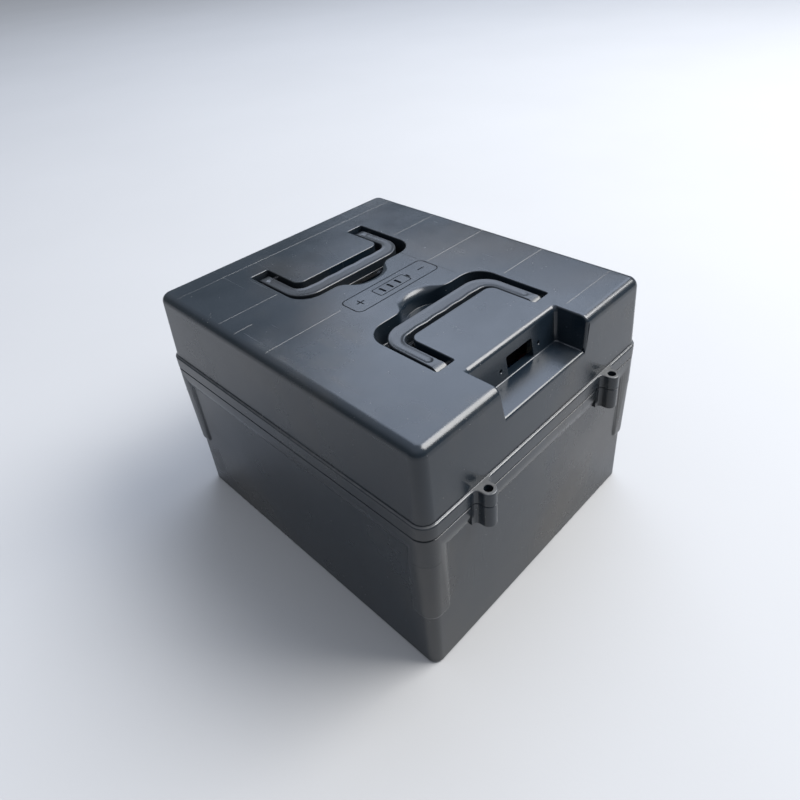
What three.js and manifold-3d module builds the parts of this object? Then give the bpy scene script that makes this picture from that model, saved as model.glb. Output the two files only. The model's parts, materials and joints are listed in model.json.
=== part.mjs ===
// A lithium battery pack in a moulded box: a base tub, a lid with a proud flange, two folding
// carrying handles let into the lid, and two rows of prismatic cells with their busbars,
// management board, fuse and output terminal block.
//
// Millimetres, +Z up. The origin is the centre of the base's underside. -Y is the front, the side
// with the notch in the lid's top edge. The front and the back both carry two screw bosses.

import * as THREE from 'three';
import { mergeVertices } from 'three/addons/utils/BufferGeometryUtils.js';
import Module from 'manifold-3d';

// Driving dimensions
const HEIGHT = 247;                 // underside of the base to the top of the lid
const HALF_X = 150;                 // lid's side walls, where they meet its top
const HALF_Y = 174.7;               // lid's front and back walls, where they meet its top
const CORNER_RADIUS = 10.5;         // upright corners
const SEAM_Z = 162.5;               // parting plane of lid and base
const SEAM_GAP = 0.6;               // open line between lid and base
const GAP = 0.3;                    // between pieces that touch

// Lid
const LID_WALL = 3;
const LID_DRAFT = 1.65;             // how much further out the lid's wall stands at the flange
const TOP_FILLET = 9;
const FLANGE_TOP = 176;
const FLANGE_PROUD = 2.2;           // flange beyond the lid's wall
const FLANGE_ROUND = 1.4;

// Base
const BASE_WALL = 3.5;
const BASE_FLOOR = 4;
const BASE_FOOT_INSET = 0.9;        // panel faces at the underside, inside the lid's outline
const RIM_PROUD = 3.6;              // rim under the flange, beyond the lid's outline
const RIM_SLOPE_TOP = 159;
const RIM_SLOPE_BOTTOM = 141;
const SHADOW_GAP = 1;               // the rim's upper edge is set back this far, and this high
const POST_BOTTOM = 64;             // lower end of the raised corner posts
const POST_PROUD_BOTTOM = 1.6;
const POST_WIDTH = 23.5;             // along each face, from the corner
const POST_END_RADIUS = 7.5;

// Seal between lid and base
const SEAL_INSET = 0.5;             // its centre line, inside the lid's outline
const SEAL_WIDTH = 2;
const SEAL_DEPTH = 2.4;

// Screw bosses, two on the front and two on the back
const BOSS_X = 90;
const BOSS_Y = 185;
const BOSS_RADIUS = 7;
const BOSS_FOOT_HALF = 12.5;          // half width of the ear where it leaves the flange
const BOSS_BOTTOM = 140;
const COUNTERBORE_RADIUS = 3.7;
const COUNTERBORE_Z = 166;
const SCREW_RADIUS = 2;
const SCREW_HEAD_RADIUS = 3.4;
const SCREW_HEAD_HEIGHT = 4;
const SCREW_LENGTH = 14;
const INSERT_RADIUS = 3;
const INSERT_LENGTH = 10;

// Handle recesses. "out" is the distance from the middle of the lid along Y.
const RECESS_HALF_X = 74.3;
const RECESS_OUT_NEAR = 41;
const RECESS_OUT_FAR = 124;
const RECESS_DEPTH = 22;
const RECESS_CORNER = 22;
const RECESS_EDGE_ROUND = 1;
const ISLAND_HALF_X = 54;
const ISLAND_OUT = 74.5;
const ISLAND_CORNER = 9;
const TRAY_WALL = 2.5;
const DISH_HALF_X = 36;
const DISH_OUT = 28;                // the finger dish's wall is this far from the middle
const DISH_DEPTH = 17;
const DISH_FLOOR_ROUND = 1.5;
const DISH_ROUND = 8.5;             // rounding of its edge in the middle, fading out at its ends
const DISH_ROUND_FADE = 11;

// Handles
const LEG_INNER_X = 57.9;
const LEG_OUTER_X = 70.4;
const GRIP_OUT_NEAR = 50;
const GRIP_OUT_FAR = 68;
const HANDLE_OUTER_RADIUS = 25;
const HANDLE_INNER_RADIUS = 11;
const HANDLE_TOP = HEIGHT - 2.5;
const HANDLE_THICKNESS = 12;
const HANDLE_ROUND = 1.5;
const FINGER_WAVES = 4;
const WAVE_HEIGHT = 0.8;
const PIVOT_OUT = 115.5;
const PIN_RADIUS = 2;

// Notch in the lid's front top edge, and the window in its back wall
const NOTCH_HALF_TOP = 60;
const NOTCH_HALF_SHELF = 55;
const NOTCH_Y_TOP = -141;
const NOTCH_Y_SHELF = -146;
const NOTCH_SHELF_Z = 215.5;
const NOTCH_LIP = 5;                // rounding of the edge above the window
const WINDOW_X = 5;
const WINDOW_WIDTH = 35;
const WINDOW_TOP = 234;
const WINDOW_BOTTOM = 216.5;
const WINDOW_SCREW_SPACING = 52.4;
const WINDOW_SCREW_RADIUS = 1.5;

// Cells, in two rows along Y
const CELLS_PER_ROW = 8;
const CELL_LENGTH = 130;            // along X
const CELL_THICKNESS = 36.3;
const CELL_PITCH = 36.9;
const CELL_HEIGHT = 180;
const CELL_BOTTOM = 7.6;
const ROW_X = 67.2;
const TERMINAL_OFFSET = 44;
const TERMINAL_SIZE = 20;
const TERMINAL_HEIGHT = 4;
const BUSBAR_THICKNESS = 2.4;
const BUSBAR_WIDTH = 18;

// Facets on each quarter of a round corner, and round a small cylinder
const CORNER_STEPS = 5;
const ROUND_STEPS = 16;

const wasm = await Module();
wasm.setup();

// ---------------------------------------------------------------- solids

function solid(geometry) {
  const plain = geometry.clone();
  plain.deleteAttribute('normal');
  plain.deleteAttribute('uv');
  const merged = mergeVertices(plain, 1e-4);
  const index = merged.index ?? [...Array(merged.attributes.position.count).keys()];
  return new wasm.Manifold(new wasm.Mesh({
    numProp: 3,
    vertProperties: new Float32Array(merged.attributes.position.array),
    triVerts: new Uint32Array(index.array ?? index),
  }));
}

function geometryOf(manifold) {
  const mesh = manifold.getMesh();
  const geometry = new THREE.BufferGeometry();
  geometry.setAttribute('position', new THREE.BufferAttribute(mesh.vertProperties, 3));
  geometry.setIndex(new THREE.BufferAttribute(mesh.triVerts, 1));
  geometry.computeVertexNormals();
  return geometry;
}

function join(solids) {
  return solids.reduce((whole, next) => whole.add(next));
}

function box(x0, x1, y0, y1, z0, z1) {
  const geometry = new THREE.BoxGeometry(x1 - x0, y1 - y0, z1 - z0);
  geometry.translate((x0 + x1) / 2, (y0 + y1) / 2, (z0 + z1) / 2);
  return solid(geometry);
}

// An upright cylinder from z0 to z1.
function post(x, y, radius, z0, z1, steps = ROUND_STEPS) {
  const geometry = new THREE.CylinderGeometry(radius, radius, z1 - z0, steps);
  geometry.rotateX(Math.PI / 2);
  geometry.translate(x, y, (z0 + z1) / 2);
  return solid(geometry);
}

// A cylinder along X, centred on x.
function crossPin(x, y, z, radius, length) {
  const geometry = new THREE.CylinderGeometry(radius, radius, length, ROUND_STEPS);
  geometry.rotateZ(Math.PI / 2);
  geometry.translate(x, y, z);
  return solid(geometry);
}

// ---------------------------------------------------------------- outlines
// An outline is a list of [x, y] points, anticlockwise.

function arc(x, y, radius, from, to, steps = CORNER_STEPS) {
  const points = [];
  for (let i = 0; i <= steps; i += 1) {
    const angle = THREE.MathUtils.degToRad(from + (to - from) * i / steps);
    points.push([x + radius * Math.cos(angle), y + radius * Math.sin(angle)]);
  }
  return points;
}

function roundedRect(halfX, halfY, radius, steps = CORNER_STEPS) {
  const x = halfX - radius;
  const y = halfY - radius;
  return [
    ...arc(x, y, radius, 0, 90, steps),
    ...arc(-x, y, radius, 90, 180, steps),
    ...arc(-x, -y, radius, 180, 270, steps),
    ...arc(x, -y, radius, 270, 360, steps),
  ];
}

function mirrored(outline) {
  return outline.map(([x, y]) => [-x, y]).reverse();
}

// Moves each side of the outline outwards by a distance: one number, or one for each point.
function offset(outline, distance) {
  const count = outline.length;
  const distances = Array.isArray(distance) ? distance : Array(count).fill(distance);
  const normalAfter = (i) => {
    const [x0, y0] = outline[i % count];
    const [x1, y1] = outline[(i + 1) % count];
    const length = Math.hypot(x1 - x0, y1 - y0);
    return [(y1 - y0) / length, (x0 - x1) / length];
  };
  return outline.map(([x, y], i) => {
    const [ax, ay] = normalAfter(i + count - 1);
    const [bx, by] = normalAfter(i);
    const share = distances[i] / (1 + ax * bx + ay * by);
    return [x + (ax + bx) * share, y + (ay + by) * share];
  });
}

// A closed solid through rings of [x, y, z] points, from the lowest to the highest. Each ring has
// the same number of points, anticlockwise.
function skin(rings) {
  const count = rings[0].length;
  const index = [];
  for (let level = 0; level < rings.length - 1; level += 1) {
    for (let i = 0; i < count; i += 1) {
      const a = level * count + i;
      const b = level * count + (i + 1) % count;
      index.push(a, b, b + count, a, b + count, a + count);
    }
  }
  const contour = rings[0].map(([x, y]) => new THREE.Vector2(x, y));
  const top = (rings.length - 1) * count;
  for (const [a, b, c] of THREE.ShapeUtils.triangulateShape(contour, [])) {
    index.push(a, c, b, top + a, top + b, top + c);
  }
  const geometry = new THREE.BufferGeometry();
  geometry.setAttribute('position', new THREE.Float32BufferAttribute(rings.flat(2), 3));
  geometry.setIndex(index);
  return geometry;
}

// A skin through one outline at rising heights; each level is [z, outward offset].
function loft(outline, levels) {
  return skin(levels.map(([z, grow]) => offset(outline, grow).map(([x, y]) => [x, y, z])));
}

function prism(outline, z0, z1) {
  return loft(outline, [[z0, 0], [z1, 0]]);
}

// Turns a loft so that its outline lies in the YZ plane and its height runs along X.
function alongX(geometry) {
  const turn = new THREE.Matrix4().makeBasis(
    new THREE.Vector3(0, 1, 0), new THREE.Vector3(0, 0, 1), new THREE.Vector3(1, 0, 0));
  return geometry.applyMatrix4(turn);
}

// Turns a loft so that its outline lies in the XZ plane and its height runs along -Y.
function alongMinusY(geometry) {
  return geometry.rotateX(Math.PI / 2);
}

// Both the solid and its copy turned half a turn about Z, so front features appear at the back.
function frontAndBack(shape) {
  return shape.add(shape.rotate([0, 0, 180]));
}

// ---------------------------------------------------------------- bosses

// The ear's outline at the front left: a round end that sweeps into the flange on both sides.
function earOutline(reach) {
  const sweep = new THREE.CubicBezierCurve(
    new THREE.Vector2(BOSS_FOOT_HALF, reach),
    new THREE.Vector2(BOSS_FOOT_HALF * 0.6, reach),
    new THREE.Vector2(BOSS_RADIUS, reach * 0.7),
    new THREE.Vector2(BOSS_RADIUS, 0),
  );
  const right = sweep.getPoints(CORNER_STEPS).map((point) => [point.x, point.y]);
  const end = arc(0, 0, BOSS_RADIUS, 0, -180, 2 * CORNER_STEPS).slice(1, -1);
  const left = right.map(([x, y]) => [-x, y]).reverse();
  const root = reach + 6;
  return [...right, ...end, ...left, [-BOSS_FOOT_HALF, root], [BOSS_FOOT_HALF, root]].reverse();
}

function ears(z0, z1) {
  const reach = BOSS_Y - HALF_Y - LID_DRAFT - FLANGE_PROUD;
  const ear = solid(prism(earOutline(reach), z0, z1));
  const pair = ear.translate([-BOSS_X, -BOSS_Y, 0]).add(ear.translate([BOSS_X, -BOSS_Y, 0]));
  return frontAndBack(pair);
}

function bossHoles(radius, z0, z1) {
  const pair = post(-BOSS_X, -BOSS_Y, radius, z0, z1).add(post(BOSS_X, -BOSS_Y, radius, z0, z1));
  return frontAndBack(pair);
}

// ---------------------------------------------------------------- base tub

function baseTub() {
  const outline = roundedRect(HALF_X, HALF_Y, CORNER_RADIUS);
  const top = SEAM_Z - SEAM_GAP / 2;
  const panels = solid(loft(outline, [
    [0, -BASE_FOOT_INSET - 2], [0.7, -BASE_FOOT_INSET - 0.7], [2.5, -BASE_FOOT_INSET], [top, 0.4]]));
  const setBack = [
    [top - SHADOW_GAP, RIM_PROUD], [top - SHADOW_GAP, RIM_PROUD - SHADOW_GAP], [top, RIM_PROUD - SHADOW_GAP]];
  const rim = solid(loft(outline, [
    [RIM_SLOPE_BOTTOM, 0.1], [RIM_SLOPE_BOTTOM + 7, 2.5], [RIM_SLOPE_TOP, RIM_PROUD], ...setBack]));
  const raised = solid(loft(outline, [
    [POST_BOTTOM - 1, -0.6], [POST_BOTTOM + 3, POST_PROUD_BOTTOM], [RIM_SLOPE_BOTTOM, RIM_PROUD],
    ...setBack]));
  const posts = raised.intersect(cornerStrips(HALF_X, 'front')).intersect(cornerStrips(HALF_Y, 'side'));
  const cavity = solid(loft(outline, [
    [BASE_FLOOR, -BASE_FOOT_INSET - BASE_WALL - 2], [BASE_FLOOR + 2, -BASE_FOOT_INSET - BASE_WALL],
    [SEAM_Z + 1, 0.4 - BASE_WALL]]));
  return join([panels, rim, posts, ears(BOSS_BOTTOM, top)])
    .subtract(cavity)
    .subtract(sealRing(SEAL_WIDTH / 2 + GAP, SEAM_Z - SEAL_DEPTH - GAP, SEAM_Z + 1))
    .subtract(bossHoles(INSERT_RADIUS + GAP, top - INSERT_LENGTH - 4, top + 1));
}

// Two upright strips with rounded lower inner corners, as wide as the corner posts, seen from the
// front or from the side.
function cornerStrips(half, view) {
  const inner = half - POST_WIDTH;
  const outer = half + 10;
  const right = [
    ...arc(inner + POST_END_RADIUS, POST_BOTTOM + POST_END_RADIUS, POST_END_RADIUS, 180, 270),
    [outer, POST_BOTTOM - 0.5], [outer, SEAM_Z], [inner, SEAM_Z]];
  const reach = HALF_Y + 20;
  const turn = view === 'front' ? alongMinusY : alongX;
  const strip = (outline) => solid(turn(prism(outline, -reach, reach)));
  return strip(right).add(strip(mirrored(right)));
}

// A ring round the box, centred on the seal's line.
function sealRing(halfWidth, z0, z1) {
  const outline = roundedRect(HALF_X, HALF_Y, CORNER_RADIUS);
  const outer = solid(loft(outline, [[z0, halfWidth - SEAL_INSET], [z1, halfWidth - SEAL_INSET]]));
  const inner = solid(loft(outline, [[z0 - 1, -halfWidth - SEAL_INSET], [z1 + 1, -halfWidth - SEAL_INSET]]));
  return outer.subtract(inner);
}

function sealGasket() {
  return sealRing(SEAL_WIDTH / 2, SEAM_Z - SEAL_DEPTH, SEAM_Z - GAP / 2);
}

// ---------------------------------------------------------------- lid

function lidOuter() {
  const levels = [
    [SEAM_Z + SEAM_GAP / 2, LID_DRAFT + FLANGE_PROUD],
    [FLANGE_TOP - FLANGE_ROUND, LID_DRAFT + FLANGE_PROUD],
    [FLANGE_TOP - FLANGE_ROUND * 0.3, LID_DRAFT + FLANGE_PROUD - FLANGE_ROUND * 0.3],
    [FLANGE_TOP, LID_DRAFT + FLANGE_PROUD - FLANGE_ROUND],
    [FLANGE_TOP, LID_DRAFT],
  ];
  const filletSteps = 4;
  for (let i = 0; i <= filletSteps; i += 1) {
    const angle = Math.PI / 2 * i / filletSteps;
    const z = HEIGHT - TOP_FILLET * (1 - Math.sin(angle));
    levels.push([z, TOP_FILLET * (Math.cos(angle) - 1)]);
  }
  return solid(loft(roundedRect(HALF_X, HALF_Y, CORNER_RADIUS), levels));
}

function lidCavity() {
  return solid(loft(roundedRect(HALF_X, HALF_Y, CORNER_RADIUS), [
    [SEAM_Z - 1, LID_DRAFT - LID_WALL],
    [HEIGHT - TOP_FILLET, -LID_WALL],
    [HEIGHT - LID_WALL, -TOP_FILLET]]));
}

// The U-shaped recess at the front, as an outline whose legs point to the front.
function recessOutline() {
  const near = -RECESS_OUT_NEAR - RECESS_CORNER;
  const endRound = 2;
  const far = -RECESS_OUT_FAR + endRound;
  const right = [
    ...arc(RECESS_HALF_X - endRound, far, endRound, -90, 0, 2),
    ...arc(RECESS_HALF_X - RECESS_CORNER, near, RECESS_CORNER, 0, 90)];
  const island = [
    ...arc(ISLAND_HALF_X - ISLAND_CORNER, -ISLAND_OUT - ISLAND_CORNER, ISLAND_CORNER, 90, 0),
    ...arc(ISLAND_HALF_X + endRound, far, endRound, 180, 270, 2)];
  return [...right, ...mirrored(right), ...mirrored(island), ...island];
}

// The finger dish: a bell-shaped bay on the recess's side nearest the middle of the lid.
function dishOutline() {
  const bell = new THREE.CubicBezierCurve(
    new THREE.Vector2(DISH_HALF_X, -RECESS_OUT_NEAR),
    new THREE.Vector2(DISH_HALF_X * 0.62, -RECESS_OUT_NEAR + 1),
    new THREE.Vector2(DISH_HALF_X * 0.5, -DISH_OUT),
    new THREE.Vector2(0, -DISH_OUT),
  );
  const right = bell.getPoints(2 * CORNER_STEPS).map((point) => [point.x, point.y]);
  const back = -RECESS_OUT_NEAR - 6;
  return [[DISH_HALF_X, back], ...right, ...mirrored(right).slice(1), [-DISH_HALF_X, back]];
}

// The finger dish's space. Its edge is broad in the middle and as fine as the recess's at its ends.
function dishCut() {
  const outline = dishOutline();
  const floor = HEIGHT - DISH_DEPTH;
  const rounds = outline.map(([, y]) => THREE.MathUtils.lerp(RECESS_EDGE_ROUND, DISH_ROUND,
    THREE.MathUtils.smoothstep(y, -RECESS_OUT_NEAR, -RECESS_OUT_NEAR + DISH_ROUND_FADE)));
  const level = (grow, z) => offset(outline, grow).map(([x, y]) => [x, y, z]);
  const rings = [level(-DISH_FLOOR_ROUND, floor), level(0, floor + DISH_FLOOR_ROUND)];
  const edgeSteps = 4;
  for (let i = 0; i <= edgeSteps; i += 1) {
    const angle = Math.PI / 2 * i / edgeSteps;
    const ring = offset(outline, rounds.map((round) => round * (1 - Math.cos(angle))));
    rings.push(ring.map(([x, y], k) => [x, y, HEIGHT - rounds[k] * (1 - Math.sin(angle))]));
  }
  rings.push(rings.at(-1).map(([x, y]) => [x, y, HEIGHT + 2]));
  return solid(skin(rings));
}

function recessCut() {
  const floor = HEIGHT - RECESS_DEPTH;
  const channel = solid(loft(recessOutline(), [
    [floor, -1.5], [floor + 1.5, 0], [HEIGHT - RECESS_EDGE_ROUND, 0],
    [HEIGHT, RECESS_EDGE_ROUND], [HEIGHT + 2, RECESS_EDGE_ROUND]]));
  return channel.add(dishCut());
}

function recessTray() {
  const floor = HEIGHT - RECESS_DEPTH - TRAY_WALL;
  const top = HEIGHT - 1.5;
  const channel = solid(prism(offset(recessOutline(), TRAY_WALL), floor, top));
  const dish = solid(prism(offset(dishOutline(), TRAY_WALL), HEIGHT - DISH_DEPTH - TRAY_WALL, top));
  return channel.add(dish);
}

// The notch's space, with walls that lean out towards the top and a rounded edge at the back.
function notchCut() {
  const front = -HALF_Y - 20;
  const ring = (halfX, back, z) => [
    [-halfX, front, z], [halfX, front, z], [halfX, back - 3, z], [halfX - 3, back, z],
    [-halfX + 3, back, z], [-halfX, back - 3, z]];
  const lean = (z) => (z - NOTCH_SHELF_Z) / (HEIGHT - NOTCH_SHELF_Z);
  const wallX = (z) => NOTCH_HALF_SHELF + (NOTCH_HALF_TOP - NOTCH_HALF_SHELF) * lean(z);
  const wallY = (z) => NOTCH_Y_SHELF + (NOTCH_Y_TOP - NOTCH_Y_SHELF) * lean(z);
  const rings = [ring(NOTCH_HALF_SHELF - 1, NOTCH_Y_SHELF - 1, NOTCH_SHELF_Z)];
  rings.push(ring(wallX(NOTCH_SHELF_Z + 1), wallY(NOTCH_SHELF_Z + 1), NOTCH_SHELF_Z + 1));
  const lipSteps = 3;
  for (let i = 0; i <= lipSteps; i += 1) {
    const angle = Math.PI / 2 * i / lipSteps;
    const z = HEIGHT - NOTCH_LIP * (1 - Math.sin(angle));
    rings.push(ring(wallX(z), wallY(z) + NOTCH_LIP * (1 - Math.cos(angle)), z));
  }
  rings.push(ring(NOTCH_HALF_TOP, NOTCH_Y_TOP + NOTCH_LIP, HEIGHT + 3));
  return solid(skin(rings));
}

function notchTray() {
  const half = NOTCH_HALF_TOP + TRAY_WALL;
  return box(-half, half, -HALF_Y + 1, NOTCH_Y_TOP + TRAY_WALL, NOTCH_SHELF_Z - TRAY_WALL, HEIGHT - 1.5);
}

function windowCut() {
  const half = WINDOW_WIDTH / 2;
  const back = NOTCH_Y_TOP + TRAY_WALL + 1;
  const opening = box(WINDOW_X - half, WINDOW_X + half, NOTCH_Y_SHELF - 3, back, WINDOW_BOTTOM, WINDOW_TOP);
  const screwHole = (side) => {
    const hole = new THREE.CylinderGeometry(WINDOW_SCREW_RADIUS, WINDOW_SCREW_RADIUS, 12, 8);
    hole.translate(WINDOW_X + side * WINDOW_SCREW_SPACING / 2, NOTCH_Y_TOP, (WINDOW_TOP + WINDOW_BOTTOM) / 2);
    return solid(hole);
  };
  return join([opening, screwHole(-1), screwHole(1)]);
}

function lidShell() {
  const pinHoles = join([-1, 1].map((side) => crossPin(
    side * (ISLAND_HALF_X + RECESS_HALF_X) / 2, -PIVOT_OUT, pivotZ(), PIN_RADIUS + GAP,
    RECESS_HALF_X - ISLAND_HALF_X + 2 * TRAY_WALL + 2)));
  return lidOuter()
    .subtract(lidCavity())
    .add(frontAndBack(recessTray()).intersect(lidOuter()))
    .add(notchTray().intersect(lidOuter()))
    .add(ears(SEAM_Z + SEAM_GAP / 2, FLANGE_TOP))
    .subtract(frontAndBack(recessCut()))
    .subtract(frontAndBack(pinHoles))
    .subtract(notchCut())
    .subtract(windowCut())
    .subtract(bossHoles(COUNTERBORE_RADIUS, COUNTERBORE_Z, FLANGE_TOP + 1))
    .subtract(bossHoles(SCREW_RADIUS + GAP, SEAM_Z - 1, FLANGE_TOP));
}

// ---------------------------------------------------------------- handles

function pivotZ() {
  return HANDLE_TOP - HANDLE_THICKNESS / 2;
}

// Seen from above, at the front, with the legs pointing to the front.
function handleOutline() {
  const end = -PIVOT_OUT - HANDLE_THICKNESS;
  const outer = arc(LEG_OUTER_X - HANDLE_OUTER_RADIUS, -GRIP_OUT_NEAR - HANDLE_OUTER_RADIUS,
    HANDLE_OUTER_RADIUS, 0, 90, 6);
  const innerX = LEG_INNER_X - HANDLE_INNER_RADIUS;
  const inner = arc(innerX, -GRIP_OUT_FAR - HANDLE_INNER_RADIUS, HANDLE_INNER_RADIUS, 90, 0, 4);
  const right = [[LEG_OUTER_X, end], ...outer];
  const wave = [];
  const waveSteps = FINGER_WAVES * 6;
  for (let i = 1; i < waveSteps; i += 1) {
    const phase = 2 * Math.PI * FINGER_WAVES * i / waveSteps;
    const rise = WAVE_HEIGHT * (1 - Math.cos(phase)) / 2;
    wave.push([-innerX + 2 * innerX * i / waveSteps, -GRIP_OUT_FAR + rise]);
  }
  const innerRight = [...inner, [LEG_INNER_X, end]];
  return [...right, ...mirrored(right), ...mirrored(innerRight), ...wave, ...innerRight];
}

function frontHandle() {
  const bottom = HANDLE_TOP - HANDLE_THICKNESS;
  const bar = solid(loft(handleOutline(), [
    [bottom, -HANDLE_ROUND], [bottom + HANDLE_ROUND, 0],
    [HANDLE_TOP - HANDLE_ROUND, 0], [HANDLE_TOP, -HANDLE_ROUND]]));
  const barrel = HANDLE_THICKNESS / 2;
  const side = [...arc(-PIVOT_OUT, pivotZ(), barrel, 90, 270, 8), [0, bottom], [0, HANDLE_TOP]];
  const profile = solid(alongX(prism(side, -HALF_X, HALF_X)));
  const legX = (LEG_INNER_X + LEG_OUTER_X) / 2;
  const hole = (x) => crossPin(x, -PIVOT_OUT, pivotZ(), PIN_RADIUS + GAP, 20);
  return bar.intersect(profile).subtract(hole(-legX)).subtract(hole(legX));
}

// ---------------------------------------------------------------- fasteners

function lidScrew() {
  const head = COUNTERBORE_Z + GAP;
  const shank = post(0, 0, SCREW_RADIUS, head - SCREW_LENGTH, head + 1, 12);
  const socket = post(0, 0, 1.7, head + SCREW_HEAD_HEIGHT - 2, head + SCREW_HEAD_HEIGHT + 1, 6);
  return shank.add(post(0, 0, SCREW_HEAD_RADIUS, head, head + SCREW_HEAD_HEIGHT)).subtract(socket);
}

function bossInsert() {
  const top = SEAM_Z - SEAM_GAP / 2 - 0.2;
  return post(0, 0, INSERT_RADIUS, top - INSERT_LENGTH, top)
    .subtract(post(0, 0, SCREW_RADIUS + GAP, top - INSERT_LENGTH - 1, top + 1, 12));
}

function handlePin() {
  return crossPin(0, 0, 0, PIN_RADIUS, RECESS_HALF_X - ISLAND_HALF_X + 2 * TRAY_WALL - 0.6);
}

// ---------------------------------------------------------------- cells and what joins them

const TERMINAL_TOP = CELL_BOTTOM + CELL_HEIGHT + TERMINAL_HEIGHT;
const SHEET_BOTTOM = TERMINAL_TOP + GAP + BUSBAR_THICKNESS + 2.4;
const SHEET_THICKNESS = 1.2;
const DECK_Z = SHEET_BOTTOM + SHEET_THICKNESS + GAP;

function cell() {
  const top = CELL_BOTTOM + CELL_HEIGHT;
  const can = solid(prism(roundedRect(CELL_LENGTH / 2, CELL_THICKNESS / 2, 3, 2), CELL_BOTTOM, top));
  const half = TERMINAL_SIZE / 2;
  const terminal = (x) => box(x - half, x + half, -half + 2, half - 2, top - 1, TERMINAL_TOP);
  const vent = post(0, 0, 8, top - 1, top + 0.6, 10);
  return join([can, terminal(-TERMINAL_OFFSET), terminal(TERMINAL_OFFSET), vent]);
}

// A strap from one terminal to the next, with a raised bend in the middle that takes up movement.
function busbar(span) {
  const low = TERMINAL_TOP + GAP;
  const high = low + BUSBAR_THICKNESS;
  const end = span / 2 + TERMINAL_SIZE / 2 - 2;
  const bend = 2;
  const side = [
    [-end, low], [-6, low], [-4, low + bend], [4, low + bend], [6, low], [end, low],
    [end, high], [5, high], [3, high + bend], [-3, high + bend], [-5, high], [-end, high]];
  return solid(alongX(prism(side, -BUSBAR_WIDTH / 2, BUSBAR_WIDTH / 2)));
}

function endPlate() {
  const reach = ROW_X + CELL_LENGTH / 2;
  const plate = box(-reach, reach, 0, 6, CELL_BOTTOM + 1, CELL_BOTTOM + 170);
  const pocket = (x) => box(x - 26, x + 26, 3, 7, CELL_BOTTOM + 25, CELL_BOTTOM + 145);
  return plate.subtract(join([-99, -33, 33, 99].map(pocket)));
}

// ---------------------------------------------------------------- electrics above the cells

function heatSink() {
  const plate = box(-64, 64, -36, 36, DECK_Z, DECK_Z + 8);
  const slots = [];
  for (let x = -54; x <= 54; x += 12) {
    slots.push(box(x - 3, x + 3, -37, 37, DECK_Z - 1, DECK_Z + 5));
  }
  return plate.subtract(join(slots));
}

function managementBoard() {
  const bottom = DECK_Z + 8 + GAP;
  const top = bottom + 1.6;
  const pieces = [box(-60, 60, -32, 32, bottom, top)];
  for (let x = -50; x <= 50; x += 12.5) {
    pieces.push(box(x - 4.5, x + 4.5, 12, 22, top - 0.5, top + 4));
  }
  pieces.push(box(-24, -6, -12, 6, top - 0.5, top + 2));
  pieces.push(box(-56, -34, -30, -22, top - 0.5, top + 7));
  pieces.push(box(10, 40, -30, -22, top - 0.5, top + 7));
  pieces.push(post(20, -6, 5, top - 0.5, top + 7, 12));
  pieces.push(post(34, -6, 5, top - 0.5, top + 7, 12));
  return join(pieces);
}

const FUSE_HALF_LENGTH = 27;

function mainFuse() {
  const base = box(-11, 11, -FUSE_HALF_LENGTH, FUSE_HALF_LENGTH, DECK_Z, DECK_Z + 6);
  const tab = (y) => box(-8, 8, y - 8, y + 8, DECK_Z + 5, DECK_Z + 9);
  const tube = new THREE.CylinderGeometry(8, 8, 26, ROUND_STEPS);
  tube.translate(0, 0, DECK_Z + 12);
  return join([base, tab(-18), tab(18), solid(tube)]);
}

const BLOCK_Y = -112;
const BLOCK_HALF_X = 27;
const BLOCK_STUD_X = 14;
const BLOCK_TOP = DECK_Z + 12;

function terminalBlock() {
  const body = box(-BLOCK_HALF_X, BLOCK_HALF_X, -10, 10, DECK_Z, BLOCK_TOP);
  const wall = box(-1.5, 1.5, -10, 10, BLOCK_TOP - 1, BLOCK_TOP + 8);
  const stud = (x) => post(x, 0, 4, BLOCK_TOP - 1, BLOCK_TOP + 8, 12);
  return join([body, wall, stud(-BLOCK_STUD_X), stud(BLOCK_STUD_X)]);
}

// A cable of 8 mm outside diameter through hand-set points.
function cable(points) {
  const path = new THREE.CatmullRomCurve3(points.map((point) => new THREE.Vector3(...point)));
  const section = new THREE.Shape(arc(0, 0, 4, 0, 315, 7).map(([x, y]) => new THREE.Vector2(x, y)));
  const geometry = new THREE.ExtrudeGeometry(section, {
    extrudePath: path, steps: Math.ceil(path.getLength() / 14), bevelEnabled: false });
  return solid(geometry);
}

const CABLE_Z = DECK_Z + 4.4;
const BLOCK_BACK_Y = BLOCK_Y + 10 + GAP;
const END_TERMINAL_X = ROW_X - TERMINAL_OFFSET;
const END_TERMINAL_Y = -(CELLS_PER_ROW - 1) / 2 * CELL_PITCH;
const FUSE_X = BLOCK_HALF_X + GAP + FUSE_HALF_LENGTH;
const FUSE_END_X = FUSE_X + FUSE_HALF_LENGTH + GAP;

// The first stretch of a cable that stands on an end cell's terminal and leans over towards +X or -X.
function riser(side) {
  const x = side * END_TERMINAL_X;
  return [
    [x, END_TERMINAL_Y, TERMINAL_TOP + GAP], [x, END_TERMINAL_Y, TERMINAL_TOP + 4],
    [x + side * 3, END_TERMINAL_Y, CABLE_Z - 2.5], [x + side * 10, END_TERMINAL_Y - 1, CABLE_Z]];
}

function cellsToFuseCable() {
  return cable([
    ...riser(1), [FUSE_X, END_TERMINAL_Y - 4, CABLE_Z], [FUSE_END_X + 2, END_TERMINAL_Y - 2, CABLE_Z],
    [FUSE_END_X + 13, END_TERMINAL_Y + 6, CABLE_Z], [FUSE_END_X + 12, BLOCK_Y - 2, CABLE_Z],
    [FUSE_END_X + 6, BLOCK_Y, CABLE_Z], [FUSE_END_X, BLOCK_Y, CABLE_Z]]);
}

function cellsToBoardCable() {
  return cable([
    ...riser(-1), [-50, END_TERMINAL_Y + 4, CABLE_Z], [-62, -100, CABLE_Z], [-58, -66, CABLE_Z],
    [-44, -48, CABLE_Z], [-40, -42, CABLE_Z], [-40, -36 - GAP, CABLE_Z]]);
}

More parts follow.
